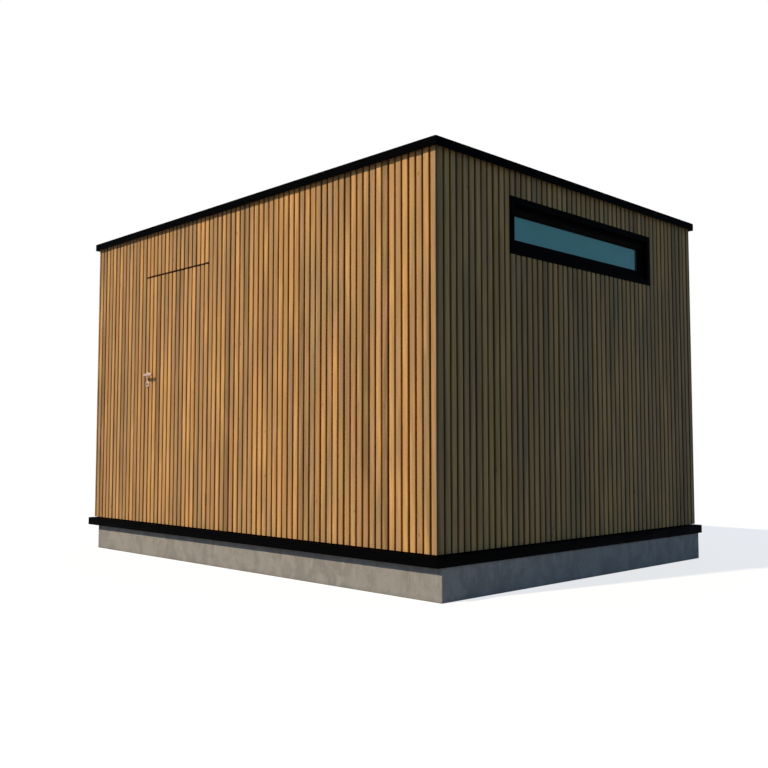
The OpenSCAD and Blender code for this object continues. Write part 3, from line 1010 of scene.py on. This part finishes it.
def boards(name, rows, width, depth, arris, material, wander=0.0, weather=0.0, seed=1):
    """A plain mesh of boards. A row is (foot, length, turn, share of the width)."""
    tree = bpy.data.node_groups.get("boards") or make_board_tree()
    mesh = bpy.data.meshes.new(name)
    mesh.from_pydata([foot for foot, _, _, _ in rows], [], [])
    for label, kind in (("length", "FLOAT"), ("share", "FLOAT"), ("turn", "FLOAT_VECTOR")):
        mesh.attributes.new(label, kind, "POINT")
    for index, (_, reach, turn, kept) in enumerate(rows):
        mesh.attributes["length"].data[index].value = reach
        mesh.attributes["share"].data[index].value = kept
        mesh.attributes["turn"].data[index].vector = turn
    piece = link(name, mesh)
    modifier = piece.modifiers.new("boards", "NODES")
    modifier.node_group = tree
    wanted = {
        "Width": width, "Depth": depth, "Arris": arris, "Wander": wander, "Weather": weather,
        "Seed": seed, "Material": bpy.data.materials[material],
    }
    for socket in tree.interface.items_tree:
        if socket.in_out == "INPUT" and socket.name in wanted:
            modifier[socket.identifier] = wanted[socket.name]
    shapes = bpy.context.evaluated_depsgraph_get()
    solid = bpy.data.meshes.new_from_object(piece.evaluated_get(shapes), depsgraph=shapes)
    piece.modifiers.clear()
    piece.data = solid
    bpy.data.meshes.remove(mesh)
    shape = bmesh.new()
    shape.from_mesh(solid)
    face_outwards(shape)
    shape.to_mesh(solid)
    shape.free()
    return piece


def spans(start, end, pitch, width, least=0.008):
    """(start, width) of each board from start to end, the last one ripped to fit.

    No board is left that would be narrower than least.
    """
    found = []
    while end - start > least:
        found.append((start, min(width, end - start)))
        start += pitch
    return found


def wall_boards(side, runs, width, plane):
    """Rows of upright boards that face one side of the house.

    A run is (start, width, low, high) for one board, and plane is the boards' middle.
    """
    rows = []
    for start, kept, low, high in runs:
        middle = start + kept / 2
        foot = (middle, plane, low) if side in ("front", "back") else (plane, middle, low)
        rows.append((foot, high - low, FACING[side], kept / width))
    return rows


def add_pieces(body, pieces, nodes=()):
    """Lets new pieces ride on a body. The first replaces nodes."""
    for piece in pieces:
        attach(piece, body)
    if nodes:
        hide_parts(*nodes)


# ---------------------------------------------------------------- cladding


def inset_plane(side, node, inset):
    """The distance along X or Y of a level inset from a node's outer face."""
    low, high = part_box(node)
    return {
        "front": low.y + inset, "back": high.y - inset,
        "left": low.x + inset, "right": high.x - inset,
    }[side]


def slat_runs(cladding):
    """The slats of each wall as (start, width, low, high), split at the openings."""
    left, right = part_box("left_cladding")[0].x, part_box("right_cladding")[1].x
    near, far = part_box("front_cladding_left")[0].y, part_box("back_cladding")[1].y
    foot, head = (corner.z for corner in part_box("back_cladding"))
    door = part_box("door_cladding")
    over_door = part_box("front_cladding_over_door")[0].z
    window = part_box("window_surround")
    width, pitch, depth = cladding.slat_width, cladding.slat_pitch, cladding.slat_depth
    # The long walls' slats are set out from the right
    long_wall = [
        (right - start - kept, kept) for start, kept in spans(0.0, right - left, pitch, width)
    ]
    short_wall = spans(near + depth, far - depth, pitch, width)
    on_door, front, right_wall = [], [], []
    for start, kept in long_wall:
        if door[0].x - depth < start and start + kept < door[1].x + depth:
            on_door.append((start, kept, foot, door[1].z))
            front.append((start, kept, over_door, head))
        else:
            front.append((start, kept, foot, head))
    for start, kept in short_wall:
        if start < window[1].y and start + kept > window[0].y:
            right_wall.append((start, kept, foot, window[0].z))
            right_wall.append((start, kept, window[1].z, head))
        else:
            right_wall.append((start, kept, foot, head))
    return {
        "door": on_door,
        "front": front,
        "right": right_wall,
        "back": [(start, kept, foot, head) for start, kept in long_wall],
        "left": [(start, kept, foot, head) for start, kept in short_wall],
    }


class HOUSE_OT_slats(Operator):
    """Adds the upright slats of the four walls and of the door"""

    bl_idname = "garden_house.slats"
    bl_label = "Slats"

    def execute(self, context):
        cladding = context.scene.house_cladding
        width, depth = cladding.slat_width, cladding.slat_depth
        for wall, runs in slat_runs(cladding).items():
            body, side, seed_step, nodes = WALLS[wall]
            rows = wall_boards(side, runs, width, inset_plane(side, nodes[0], depth / 2))
            piece = boards(
                f"{wall}_slats", rows, width, depth, cladding.arris, "oiled_larch",
                cladding.wander, getattr(cladding, f"greyed_{side}"), cladding.seed + seed_step,
            )
            add_pieces(body, [piece], nodes)
        return {"FINISHED"}


class HOUSE_OT_battens(Operator):
    """Adds the dark horizontal battens that carry the slats, and the door's wind sheet"""

    bl_idname = "garden_house.battens"
    bl_label = "Battens"

    def execute(self, context):
        cladding = context.scene.house_cladding
        foot, head = (corner.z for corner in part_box("back_cladding"))
        inset, count = cladding.batten_inset, cladding.batten_rows
        step = (head - foot - 2 * inset) / (count - 1)
        levels = [foot + inset + row * step for row in range(count)]
        rows = {"house": [], "door": []}
        for body, side, _, nodes in WALLS.values():
            for node in nodes:
                rows[body].extend(batten_rows(side, node, levels, cladding))
        for name, body in (("wall_battens", "house"), ("door_battens", "door")):
            piece = boards(
                name, rows[body], cladding.batten_width, batten_depth(cladding),
                cladding.arris / 2, "stained_battens",
            )
            add_pieces(body, [piece])
        add_pieces("door", [door_sheet(cladding)])
        return {"FINISHED"}


def door_sheet(cladding):
    """The door's wind sheet in two lengths, the upper lapped over the lower."""
    low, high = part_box("door_cladding")
    inset, sheet, lap = cladding.arris, cladding.sheet, cladding.sheet_lap
    joint = (low.z + high.z) / 2
    lengths = [
        ((low.x + inset, high.y - sheet, low.z + inset), (high.x - inset, high.y, joint)),
        (
            (low.x + inset, high.y - 2 * sheet, joint - lap),
            (high.x - inset, high.y - sheet, high.z - inset),
        ),
    ]
    return blocks("door_wind_sheet", lengths, "wind_sheet", sheet / 4)


def batten_depth(cladding):
    """Depth of the space between the slats and the wall."""
    low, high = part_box("door_cladding")
    return high.y - low.y - cladding.slat_depth


def batten_rows(side, node, levels, cladding):
    """The battens behind one stretch of slats, as rows for boards()."""
    low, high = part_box(node)
    half = cladding.batten_width / 2
    plane = inset_plane(side, node, cladding.slat_depth + batten_depth(cladding) / 2)
    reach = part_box("right_cladding")[1].x - cladding.slat_depth
    start, end = max(low.x, -reach), min(high.x, reach)
    rows = []
    for level in levels:
        if not low.z + half <= level <= high.z - half:
            continue
        if side in ("left", "right"):
            rows.append(((plane, low.y, level), high.y - low.y, ALONG_Y, 1.0))
        else:
            rows.append(((start, plane, level), end - start, ALONG_X, 1.0))
    return rows


# --------------------------------------------------------------- the plinth


class HOUSE_OT_plinth(Operator):
    """Adds the cast plinth with its softly broken edges"""

    bl_idname = "garden_house.plinth"
    bl_label = "Plinth"

    def execute(self, context):
        broken_edge = 0.004
        piece = blocks("cast_plinth", [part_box("plinth")], "cast_concrete", broken_edge)
        add_pieces("house", [piece], ["plinth"])
        return {"FINISHED"}


# ----------------------------------------------------------------- the room


def casing_rows(spread, low, high, plane, width):
    """Casing round an opening that spreads along x or y: two uprights and a head board."""
    start, end = getattr(low, spread), getattr(high, spread)
    upright, level = (UPRIGHT, ALONG_X) if spread == "x" else (FACING["right"], ALONG_Y)
    rows = []
    for at, foot, reach, turn in (
        (start - width / 2, low.z, high.z + width - low.z, upright),
        (end + width / 2, low.z, high.z + width - low.z, upright),
        (start, high.z + width / 2, end - start, level),
    ):
        rows.append(((at, plane, foot) if spread == "x" else (plane, at, foot), reach, turn, 1.0))
    return rows


def lining_runs(start, end, low, high, opening, pitch, width):
    """Wall boards from start to end, short ones under and over an opening."""
    first, last, sill, head = opening or (end, end, low, high)
    runs = [(at, kept, low, high) for at, kept in spans(start, first, pitch, width)]
    for at, kept in spans(first, last, pitch, width):
        if sill > low:
            runs.append((at, kept, low, sill))
        runs.append((at, kept, head, high))
    runs.extend((at, kept, low, high) for at, kept in spans(last, end, pitch, width))
    return runs


def laid_boards(name, low, high, middle, depth, pitch, joint, material, seed):
    """Boards laid along X from wall to wall, with their middle at one height."""
    width = pitch - joint
    rows = [
        ((low.x, at + kept / 2, middle), high.x - low.x, LAID_ALONG_X, kept / width)
        for at, kept in spans(low.y, high.y, pitch, width)
    ]
    return boards(name, rows, width, depth, BOARD_ARRIS, material, seed=seed)


class HOUSE_OT_room(Operator):
    """Adds the boards, casings and skirting of the room"""

    bl_idname = "garden_house.room"
    bl_label = "Room"

    def execute(self, context):
        sizes = context.scene.house_boards
        low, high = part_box("floor_panel")
        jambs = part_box("door_jamb_latch_side")[0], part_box("door_jamb_hinge_side")[1]
        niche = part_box("window_lining")
        self.add_lining(sizes, low, high, jambs, niche)
        self.add_floor(sizes, low, high)
        self.add_ceiling(sizes)
        self.add_casings(sizes, low, high, jambs, niche)
        self.add_skirting(sizes, low, high, jambs)
        return {"FINISHED"}

    def add_lining(self, sizes, low, high, jambs, niche):
        """Upright boards on the four walls, cut at the doorway and at the window."""
        depth, top = sizes.lining_depth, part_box("ceiling")[0].z
        pitch, width = sizes.lining_pitch, sizes.lining_pitch - sizes.joint
        doorway = (jambs[0].x, jambs[1].x, high.z, jambs[1].z)
        window = (niche[0].y, niche[1].y, niche[0].z, niche[1].z)
        rows = []
        for side, plane, start, end, opening in (
            ("back", low.y + depth / 2, low.x, high.x, doorway),
            ("front", high.y - depth / 2, low.x, high.x, None),
            ("right", low.x + depth / 2, low.y + depth, high.y - depth, None),
            ("left", high.x - depth / 2, low.y + depth, high.y - depth, window),
        ):
            runs = lining_runs(start, end, high.z, top, opening, pitch, width)
            rows.extend(wall_boards(side, runs, width, plane))
        lining = boards("wall_lining", rows, width, depth, BOARD_ARRIS, "spruce_lining", seed=3)
        add_pieces("house", [lining])

    def add_floor(self, sizes, low, high):
        """Floor boards on a base that fills the rest of the floor panel's place."""
        depth, base_edge = sizes.floor_depth, 0.002
        floor = laid_boards(
            "floor_boards", low, high, high.z - depth / 2, depth, sizes.floor_pitch, sizes.joint,
            "oiled_floor", seed=5,
        )
        corners = [(low, (high.x, high.y, high.z - depth))]
        base = blocks("floor_base", corners, "wind_sheet", base_edge)
        add_pieces("house", [base, floor], ["floor_panel"])

    def add_ceiling(self, sizes):
        """Ceiling boards from wall to wall."""
        low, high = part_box("ceiling")
        ceiling = laid_boards(
            "ceiling_boards", low, high, (low.z + high.z) / 2, high.z - low.z,
            sizes.lining_pitch, sizes.joint, "spruce_ceiling", seed=11,
        )
        add_pieces("house", [ceiling], ["ceiling"])

    def add_casings(self, sizes, low, high, jambs, niche):
        """Casings round the doorway and on all four sides of the window's niche."""
        width, depth = sizes.casing_width, sizes.casing_depth
        wall_y = low.y + sizes.lining_depth + depth / 2
        wall_x = high.x - sizes.lining_depth - depth / 2
        clear = Vector((jambs[0].x + JAMB_COVER, 0, high.z))
        far = Vector((jambs[1].x - JAMB_COVER, 0, jambs[1].z - JAMB_COVER))
        inner = Vector((0, niche[0].y + NICHE_COVER, niche[0].z + NICHE_COVER))
        outer = Vector((0, niche[1].y - NICHE_COVER, niche[1].z - NICHE_COVER))
        sill = (wall_x, inner.y - width, inner.z - width / 2)
        rows = [
            *casing_rows("x", clear, far, wall_y, width),
            *casing_rows("y", inner, outer, wall_x, width),
            (sill, outer.y - inner.y + 2 * width, ALONG_Y, 1.0),
        ]
        casing = boards("casings", rows, width, depth, CASING_ARRIS, "spruce_lining", seed=9)
        add_pieces("house", [casing])

    def add_skirting(self, sizes, low, high, jambs):
        """Skirting boards along the walls, left open at the doorway."""
        depth, tall, lining = sizes.casing_depth, sizes.skirting, sizes.lining_depth
        level, off, gap = high.z + tall / 2, lining + depth / 2, 0.001
        casing = sizes.casing_width + gap
        rows = []
        for start, end, plane in (
            (low.x, jambs[0].x + JAMB_COVER - casing, low.y + off),
            (jambs[1].x - JAMB_COVER + casing, high.x, low.y + off),
            (low.x, high.x, high.y - off),
        ):
            first, last = max(start, low.x + lining), min(end, high.x - lining)
            rows.append(((first, plane, level), last - first, ALONG_X, 1.0))
        inset = lining + depth
        for plane in (low.x + off, high.x - off):
            foot = (plane, low.y + inset, level)
            rows.append((foot, high.y - low.y - 2 * inset, ALONG_Y, 1.0))
        skirting = boards("skirting", rows, tall, depth, CASING_ARRIS, "spruce_ceiling", seed=13)
        add_pieces("house", [skirting])


# ------------------------------------------------------------ the metalwork


def flat(across, along, depth):
    """A position in a level frame."""
    return (across, along, depth)


def on_window_wall(across, along, depth):
    """A position in a frame on the window wall."""
    return (depth, across, along)


def folded_edge(inset, low, high, sheet, hem):
    """The section of a folded edge: flange, face and a hemmed drip at its foot."""
    hem_depth = sheet * 1.5
    return [
        (0.0, low), (0.0, high), (inset, high), (inset, high - sheet), (sheet, high - sheet),
        (sheet, low + hem), (hem_depth, low + hem), (hem_depth, low),
    ]


class HOUSE_OT_metalwork(Operator):
    """Adds the folded roof trim and ledge in mitred lengths"""

    bl_idname = "garden_house.metalwork"
    bl_label = "Metalwork"

    def execute(self, context):
        sizes = context.scene.house_fittings
        for name in ("roof_trim", "ledge"):
            nodes = [f"{name}_{side}" for side in SIDES]
            low, face_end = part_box(f"{name}_front")
            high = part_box(f"{name}_back")[1]
            edge = folded_edge(face_end.y - low.y, low.z, high.z, sizes.sheet, sizes.hem)
            piece = mitred_lengths(
                f"{name}_lengths", low, high, eased(edge, sizes.fold), flat, "black_coating",
                sizes.trim_joint, sizes.trim_length,
            )
            add_pieces("house", [piece], nodes)
        return {"FINISHED"}


# ----------------------------------------------------------------- the roof


class HOUSE_OT_roof(Operator):
    """Adds the welded seams and the upturned edge of the roof sheet"""

    bl_idname = "garden_house.roof"
    bl_label = "Roof sheet"

    def execute(self, context):
        sizes = context.scene.house_fittings
        low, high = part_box("roof_membrane")
        thick, rise, eased_edge, lap = 0.003, 0.045, 0.001, sizes.seam_width
        seams = []
        at = low.x + sizes.seam_pitch
        while at < high.x - lap:
            seams.append(((at, low.y, high.z), (at + lap, high.y, high.z + thick)))
            at += sizes.seam_pitch
        edges = [
            ((low.x, low.y, high.z), (high.x, low.y + thick, high.z + rise)),
            ((low.x, high.y - thick, high.z), (high.x, high.y, high.z + rise)),
            ((low.x, low.y, high.z), (low.x + thick, high.y, high.z + rise)),
            ((high.x - thick, low.y, high.z), (high.x, high.y, high.z + rise)),
        ]
        add_pieces("house", [
            blocks("roof_seams", seams, "roof_sheet", eased_edge),
            blocks("roof_sheet_edges", edges, "roof_sheet", eased_edge),
        ])
        return {"FINISHED"}


# --------------------------------------------------------------- the window


def frame_blocks(low, high, face, inner, outer):
    """Four bars that frame a rectangle on the window wall, from inner to outer along X."""
    return [
        ((inner, low.y, low.z), (outer, high.y, low.z + face)),
        ((inner, low.y, high.z - face), (outer, high.y, high.z)),
        ((inner, low.y, low.z + face), (outer, low.y + face, high.z - face)),
        ((inner, high.y - face, low.z + face), (outer, high.y, high.z - face)),
    ]


class HOUSE_OT_window(Operator):
    """Adds the window's surround, its frame with sloping beads and the gaskets"""

    bl_idname = "garden_house.window"
    bl_label = "Window"

    def execute(self, context):
        sizes = context.scene.house_fittings
        self.add_surround(sizes)
        self.add_frame(sizes)
        self.add_gaskets(sizes)
        return {"FINISHED"}

    def add_surround(self, sizes):
        """The folded surround, mitred at its corners."""
        low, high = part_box("window_surround")
        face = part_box("window_frame")[0].y - low.y
        section = eased([(0, low.x), (0, high.x), (face, high.x), (face, low.x)], sizes.fold)
        piece = mitred_lengths(
            "surround_lengths", low.yz, high.yz, section, on_window_wall,
            "black_coating", sizes.trim_joint / 2,
        )
        add_pieces("house", [piece], ["window_surround"])

    def add_frame(self, sizes):
        """The frame, rebated for the pane, with a bead that slopes back to it."""
        low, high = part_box("window_frame")
        pane, bead_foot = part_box("window_glass"), 0.003
        rebate = pane[0].y - low.y
        face = rebate + PANE_LAP
        section = [
            (0.0, low.x), (0.0, high.x), (face - sizes.bead_slope, high.x),
            (face, pane[1].x + bead_foot), (face, pane[1].x), (rebate, pane[1].x),
            (rebate, pane[0].x), (face, pane[0].x), (face, low.x),
        ]
        piece = mitred_lengths(
            "frame_lengths", low.yz, high.yz, eased(section, radius=0.001, steps=2), on_window_wall,
            "black_coating", sizes.trim_joint / 3,
        )
        add_pieces("house", [piece], ["window_frame"])

    def add_gaskets(self, sizes):
        """Gaskets on both faces of the pane, and the cover strip at its far end."""
        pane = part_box("window_glass")
        face, proud, rounding = 0.003, 0.0015, 0.0005
        low = pane[0] + Vector((0, PANE_LAP, PANE_LAP))
        high = pane[1] - Vector((0, PANE_LAP, PANE_LAP))
        bars = frame_blocks(low, high, face, pane[1].x, pane[1].x + proud)
        bars += frame_blocks(low, high, face, pane[0].x - proud, pane[0].x)
        bars.append((
            (pane[1].x, high.y - face - sizes.end_bead, low.z + face),
            (pane[1].x + proud * 2, high.y - face, high.z - face),
        ))
        piece = blocks("window_gaskets", bars, "black_rubber", rounding)
        add_pieces("house", [piece])


# ----------------------------------------------------------------- the door


def lever_path(centre, stand_off, reach, elbow, way):
    """The lever's middle line: out from the door, round the bend, and along."""
    x, y, z = centre
    points = [Vector((x, y, z)), Vector((x, y + way * (stand_off - elbow), z))]
    steps = 8
    for step in range(1, steps + 1):
        angle = QUARTER * step / steps
        points.append(Vector((
            x + elbow * (1 - math.cos(angle)),
            y + way * (stand_off - elbow + elbow * math.sin(angle)),
            z,
        )))
    points.append(Vector((x + reach, y + way * stand_off, z)))
    return points


def rounded_end(path, radius, steps=5, tip=0.05):
    """Adds a round end to a path and gives the radius at each of its points.

    tip is the share of the radius that is left at the very end.
    """
    along = (path[-1] - path[-2]).normalized()
    end = path.pop()
    radii = [radius] * len(path)
    for step in range(steps + 1):
        angle = QUARTER * step / steps
        path.append(end - along * radius * (1 - math.sin(angle)))
        radii.append(max(radius * math.cos(angle), radius * tip))
    return radii


def lever_axis():
    """Where the lever turns: the distance along X and the height."""
    lever = next(joint for joint in frame["joints"] if joint["name"] == "lever_turn")
    x, _, z = lever["pos_m"]
    return x, z


class HOUSE_OT_fittings(Operator):
    """Adds the door's levers, rosettes, lock cylinder and seals, and the threshold's ribs"""

    bl_idname = "garden_house.fittings"
    bl_label = "Door fittings"

    def execute(self, context):
        sizes = context.scene.house_fittings
        self.add_levers(sizes)
        self.add_rosettes(sizes)
        self.add_cylinder()
        self.add_seals(sizes)
        self.add_ribs()
        return {"FINISHED"}

    def add_levers(self, sizes):
        """Bent round bars on both faces of the door."""
        x, z = lever_axis()
        for node, way in (("lever_outside", -1), ("lever_inside", 1)):
            low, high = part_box(node)
            foot = high.y if way < 0 else low.y
            stand_off = high.y - low.y - sizes.grip_radius
            path = lever_path((x, foot, z), stand_off, high.x - x, sizes.elbow, way)
            radii = rounded_end(path, sizes.grip_radius)
            shape = bmesh.new()
            swept_bar(shape, path, radii)
            piece = from_bmesh(f"{node}_bar", shape, "satin_steel", smooth_under=40)
            add_pieces("lever", [piece], [node])

    def add_rosettes(self, sizes):
        """Four covers with chamfered rims, two on each face of the door."""
        low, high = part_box("rosettes")
        outside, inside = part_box("door_cladding")[0].y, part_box("door_leaf")[1].y
        x, upper = lever_axis()
        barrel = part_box("lock_cylinder")
        lower, barrel_radius = (barrel[0].z + barrel[1].z) / 2, (barrel[1].z - barrel[0].z) / 2
        radius, cut, slack = (high.x - low.x) / 2, sizes.chamfer, 0.0003
        shape = bmesh.new()
        for face, way, rim in ((outside, -1, outside - low.y), (inside, 1, high.y - inside)):
            for level, core in ((upper, sizes.grip_radius), (lower, barrel_radius)):
                bore = core + slack
                profile = [
                    (bore, 0.0), (radius, 0.0), (radius, rim - cut), (radius - cut, rim),
                    (bore + cut, rim), (bore, rim - cut),
                ]
                turned(shape, profile, (x, face, level), way)
        covers = from_bmesh("door_rosettes", shape, "satin_steel", smooth_under=30)
        add_pieces("door", [covers], ["rosettes"])

    def add_cylinder(self):
        """The lock cylinder, with a dark keyway at both ends."""
        low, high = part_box("lock_cylinder")
        x, level, radius = lever_axis()[0], (low.z + high.z) / 2, (high.z - low.z) / 2
        reach, cut, middle = high.y - low.y, 0.0006, 0.00001
        profile = [
            (middle, 0.0), (radius - cut, 0.0), (radius, cut),
            (radius, reach - cut), (radius - cut, reach), (middle, reach),
        ]
        shape = bmesh.new()
        turned(shape, profile, (x, low.y, level), way=1)
        core = from_bmesh("lock_barrel", shape, "bronze_coating", smooth_under=30)
        add_pieces("door", [core], ["lock_cylinder"])
        half, tall, thin = 0.0011, 0.0046, 0.0002
        slots = [
            ((x - half, y - thin, level - tall), (x + half, y + thin, level + tall))
            for y in (low.y + thin, high.y - thin)
        ]
        add_pieces("door", [blocks("keyways", slots, "black_rubber", bevel=0.0)])

    def add_seals(self, sizes):
        """A rubber bead on each stop that the door closes against."""
        left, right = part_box("door_jamb_latch_side")[1].x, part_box("door_jamb_hinge_side")[0].x
        foot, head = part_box("floor_panel")[1].z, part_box("door_head")[0].z
        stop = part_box("door_leaf")[1].y + STOP_GAP
        start, wide, rounding = stop - sizes.bead, 0.006, 0.001
        bars = [
            ((left - wide, start, foot), (left, stop, head + wide)),
            ((right, start, foot), (right + wide, stop, head + wide)),
            ((left, start, head), (right, stop, head + wide)),
        ]
        piece = blocks("door_seals", bars, "black_rubber", rounding)
        add_pieces("house", [piece])

    def add_ribs(self):
        """Grip ribs along the inner part of the threshold."""
        low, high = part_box("threshold")
        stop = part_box("door_leaf")[1].y + STOP_GAP
        count, wide, proud, rounding = 5, 0.004, 0.0012, 0.0004
        margin, inset = 0.010, 0.026
        start, step = stop + margin, (high.y - stop - 2 * margin - wide) / (count - 1)
        ribs = [
            ((low.x + inset, start + step * row, high.z),
             (high.x - inset, start + step * row + wide, high.z + proud))
            for row in range(count)
        ]
        piece = blocks("threshold_ribs", ribs, "mill_aluminium", rounding)
        add_pieces("house", [piece])


# -------------------------------------------------------- finishes and stage


class HOUSE_OT_finishes(Operator):
    """Makes every finish and gives the frame's own pieces theirs"""

    bl_idname = "garden_house.finishes"
    bl_label = "Finishes"

    def execute(self, context):
        make_materials(context.scene.house_colours)
        for finish, nodes in CAD_FINISHES.items():
            for node in nodes:
                slots = frame["nodes"][node].material_slots
                if not slots:
                    raise RuntimeError(f"{node} has no material slot")
                for slot in slots:
                    slot.material = bpy.data.materials[finish]
        return {"FINISHED"}


class HOUSE_OT_stage(Operator):
    """Adds the floor, the sun, the sky and the camera"""

    bl_idname = "garden_house.stage"
    bl_label = "Stage"

    def execute(self, context):
        stage = context.scene.house_stage
        self.add_floor(stage)
        self.add_sky(context.scene, stage)
        self.add_sun(context.scene, stage)
        self.add_camera(context.scene, stage)
        context.scene.view_settings.view_transform = "Standard"
        return {"FINISHED"}

    def add_floor(self, stage):
        """A wide pale floor, which throws little light back at the walls."""
        reach = 300.0
        shape = bmesh.new()
        corners = ((-reach, -reach), (reach, -reach), (reach, reach), (-reach, reach))
        shape.faces.new([shape.verts.new((x, y, 0.0)) for x, y in corners])
        tree, shader = principled("pale_floor")
        path = add(tree, "ShaderNodeLightPath").outputs
        seen = maths(tree, "MAXIMUM", path["Is Camera Ray"], path["Is Glossy Ray"])
        set_shader(
            tree, shader, Base_Color=blend(tree, seen, stage.floor_bounce, stage.floor_colour),
            Emission_Color=blend(tree, seen, (0.0, 0.0, 0.0), stage.floor_glow), Emission_Strength=1.0,
            Roughness=1.0, Specular_IOR_Level=0.0,
        )
        mesh = bpy.data.meshes.new("stage_floor")
        shape.to_mesh(mesh)
        shape.free()
        mesh.materials.append(bpy.data.materials["pale_floor"])
        link("stage_floor", mesh)

    def add_sky(self, scene, stage):
        """An even sky that lights the house, behind a plain backdrop."""
        world = bpy.data.worlds.new("sky")
        scene.world = world
        world.use_nodes = True
        tree = world.node_tree
        tree.nodes.clear()
        seen = add(tree, "ShaderNodeLightPath").outputs["Is Camera Ray"]
        light = add(
            tree, "ShaderNodeBackground",
            {"Color": blend(tree, seen, stage.sky_colour, stage.backdrop)},
        )
        result = add(tree, "ShaderNodeOutputWorld")
        tree.links.new(light.outputs[0], result.inputs["Surface"])

    def add_sun(self, scene, stage):
        """The sun, about halfway up and nearly square on to the door wall."""
        lamp = bpy.data.lights.new("sun", "SUN")
        lamp.energy = stage.sun_energy
        lamp.color = stage.sun_colour
        lamp.angle = stage.sun_size
        sun = bpy.data.objects.new("sun", lamp)
        towards = Vector(stage.sun_place)
        sun.rotation_euler = towards.to_track_quat("Z", "Y").to_euler()
        scene.collection.objects.link(sun)

    def add_camera(self, scene, stage):
        """The camera, placed from the house's near corner."""
        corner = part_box("front_cladding_right")
        lens = bpy.data.cameras.new("camera")
        lens.lens = stage.lens
        lens.sensor_width = 36.0
        lens.clip_end = 500.0
        camera = bpy.data.objects.new("camera", lens)
        camera.location = (
            corner[1].x + stage.camera_right, corner[0].y - stage.camera_front, stage.camera_height,
        )
        camera.rotation_euler = (QUARTER + stage.tilt, 0.0, stage.turn)
        scene.collection.objects.link(camera)
        scene.camera = camera


OPERATORS = [
    HOUSE_OT_finishes, HOUSE_OT_plinth, HOUSE_OT_slats, HOUSE_OT_battens, HOUSE_OT_room,
    HOUSE_OT_metalwork, HOUSE_OT_roof, HOUSE_OT_window, HOUSE_OT_fittings, HOUSE_OT_stage,
]


class HOUSE_PT_panel(Panel):
    """Lists the steps that dress the garden house, and its settings"""

    bl_idname = "HOUSE_PT_panel"
    bl_label = "Garden House"
    bl_space_type = "VIEW_3D"
    bl_region_type = "UI"
    bl_category = "Garden House"

    def draw(self, context):
        for operator in OPERATORS:
            self.layout.operator(operator.bl_idname)
        for name, group in SETTINGS.items():
            box = self.layout.box()
            for key in group.__annotations__:
                box.prop(getattr(context.scene, name), key)


CLASSES = [*SETTINGS.values(), *OPERATORS, HOUSE_PT_panel]


def register():
    for item in CLASSES:
        bpy.utils.register_class(item)
    for name, group in SETTINGS.items():
        setattr(bpy.types.Scene, name, PointerProperty(type=group))


def unregister():
    for name in SETTINGS:
        delattr(bpy.types.Scene, name)
    for item in reversed(CLASSES):
        bpy.utils.unregister_class(item)


def main():
    """Dresses the house."""
    register()
    for step in (
        bpy.ops.garden_house.finishes, bpy.ops.garden_house.plinth, bpy.ops.garden_house.slats,
        bpy.ops.garden_house.battens, bpy.ops.garden_house.room,
        bpy.ops.garden_house.metalwork, bpy.ops.garden_house.roof,
        bpy.ops.garden_house.window, bpy.ops.garden_house.fittings, bpy.ops.garden_house.stage,
    ):
        step()


if __name__ == "__main__":
    main()
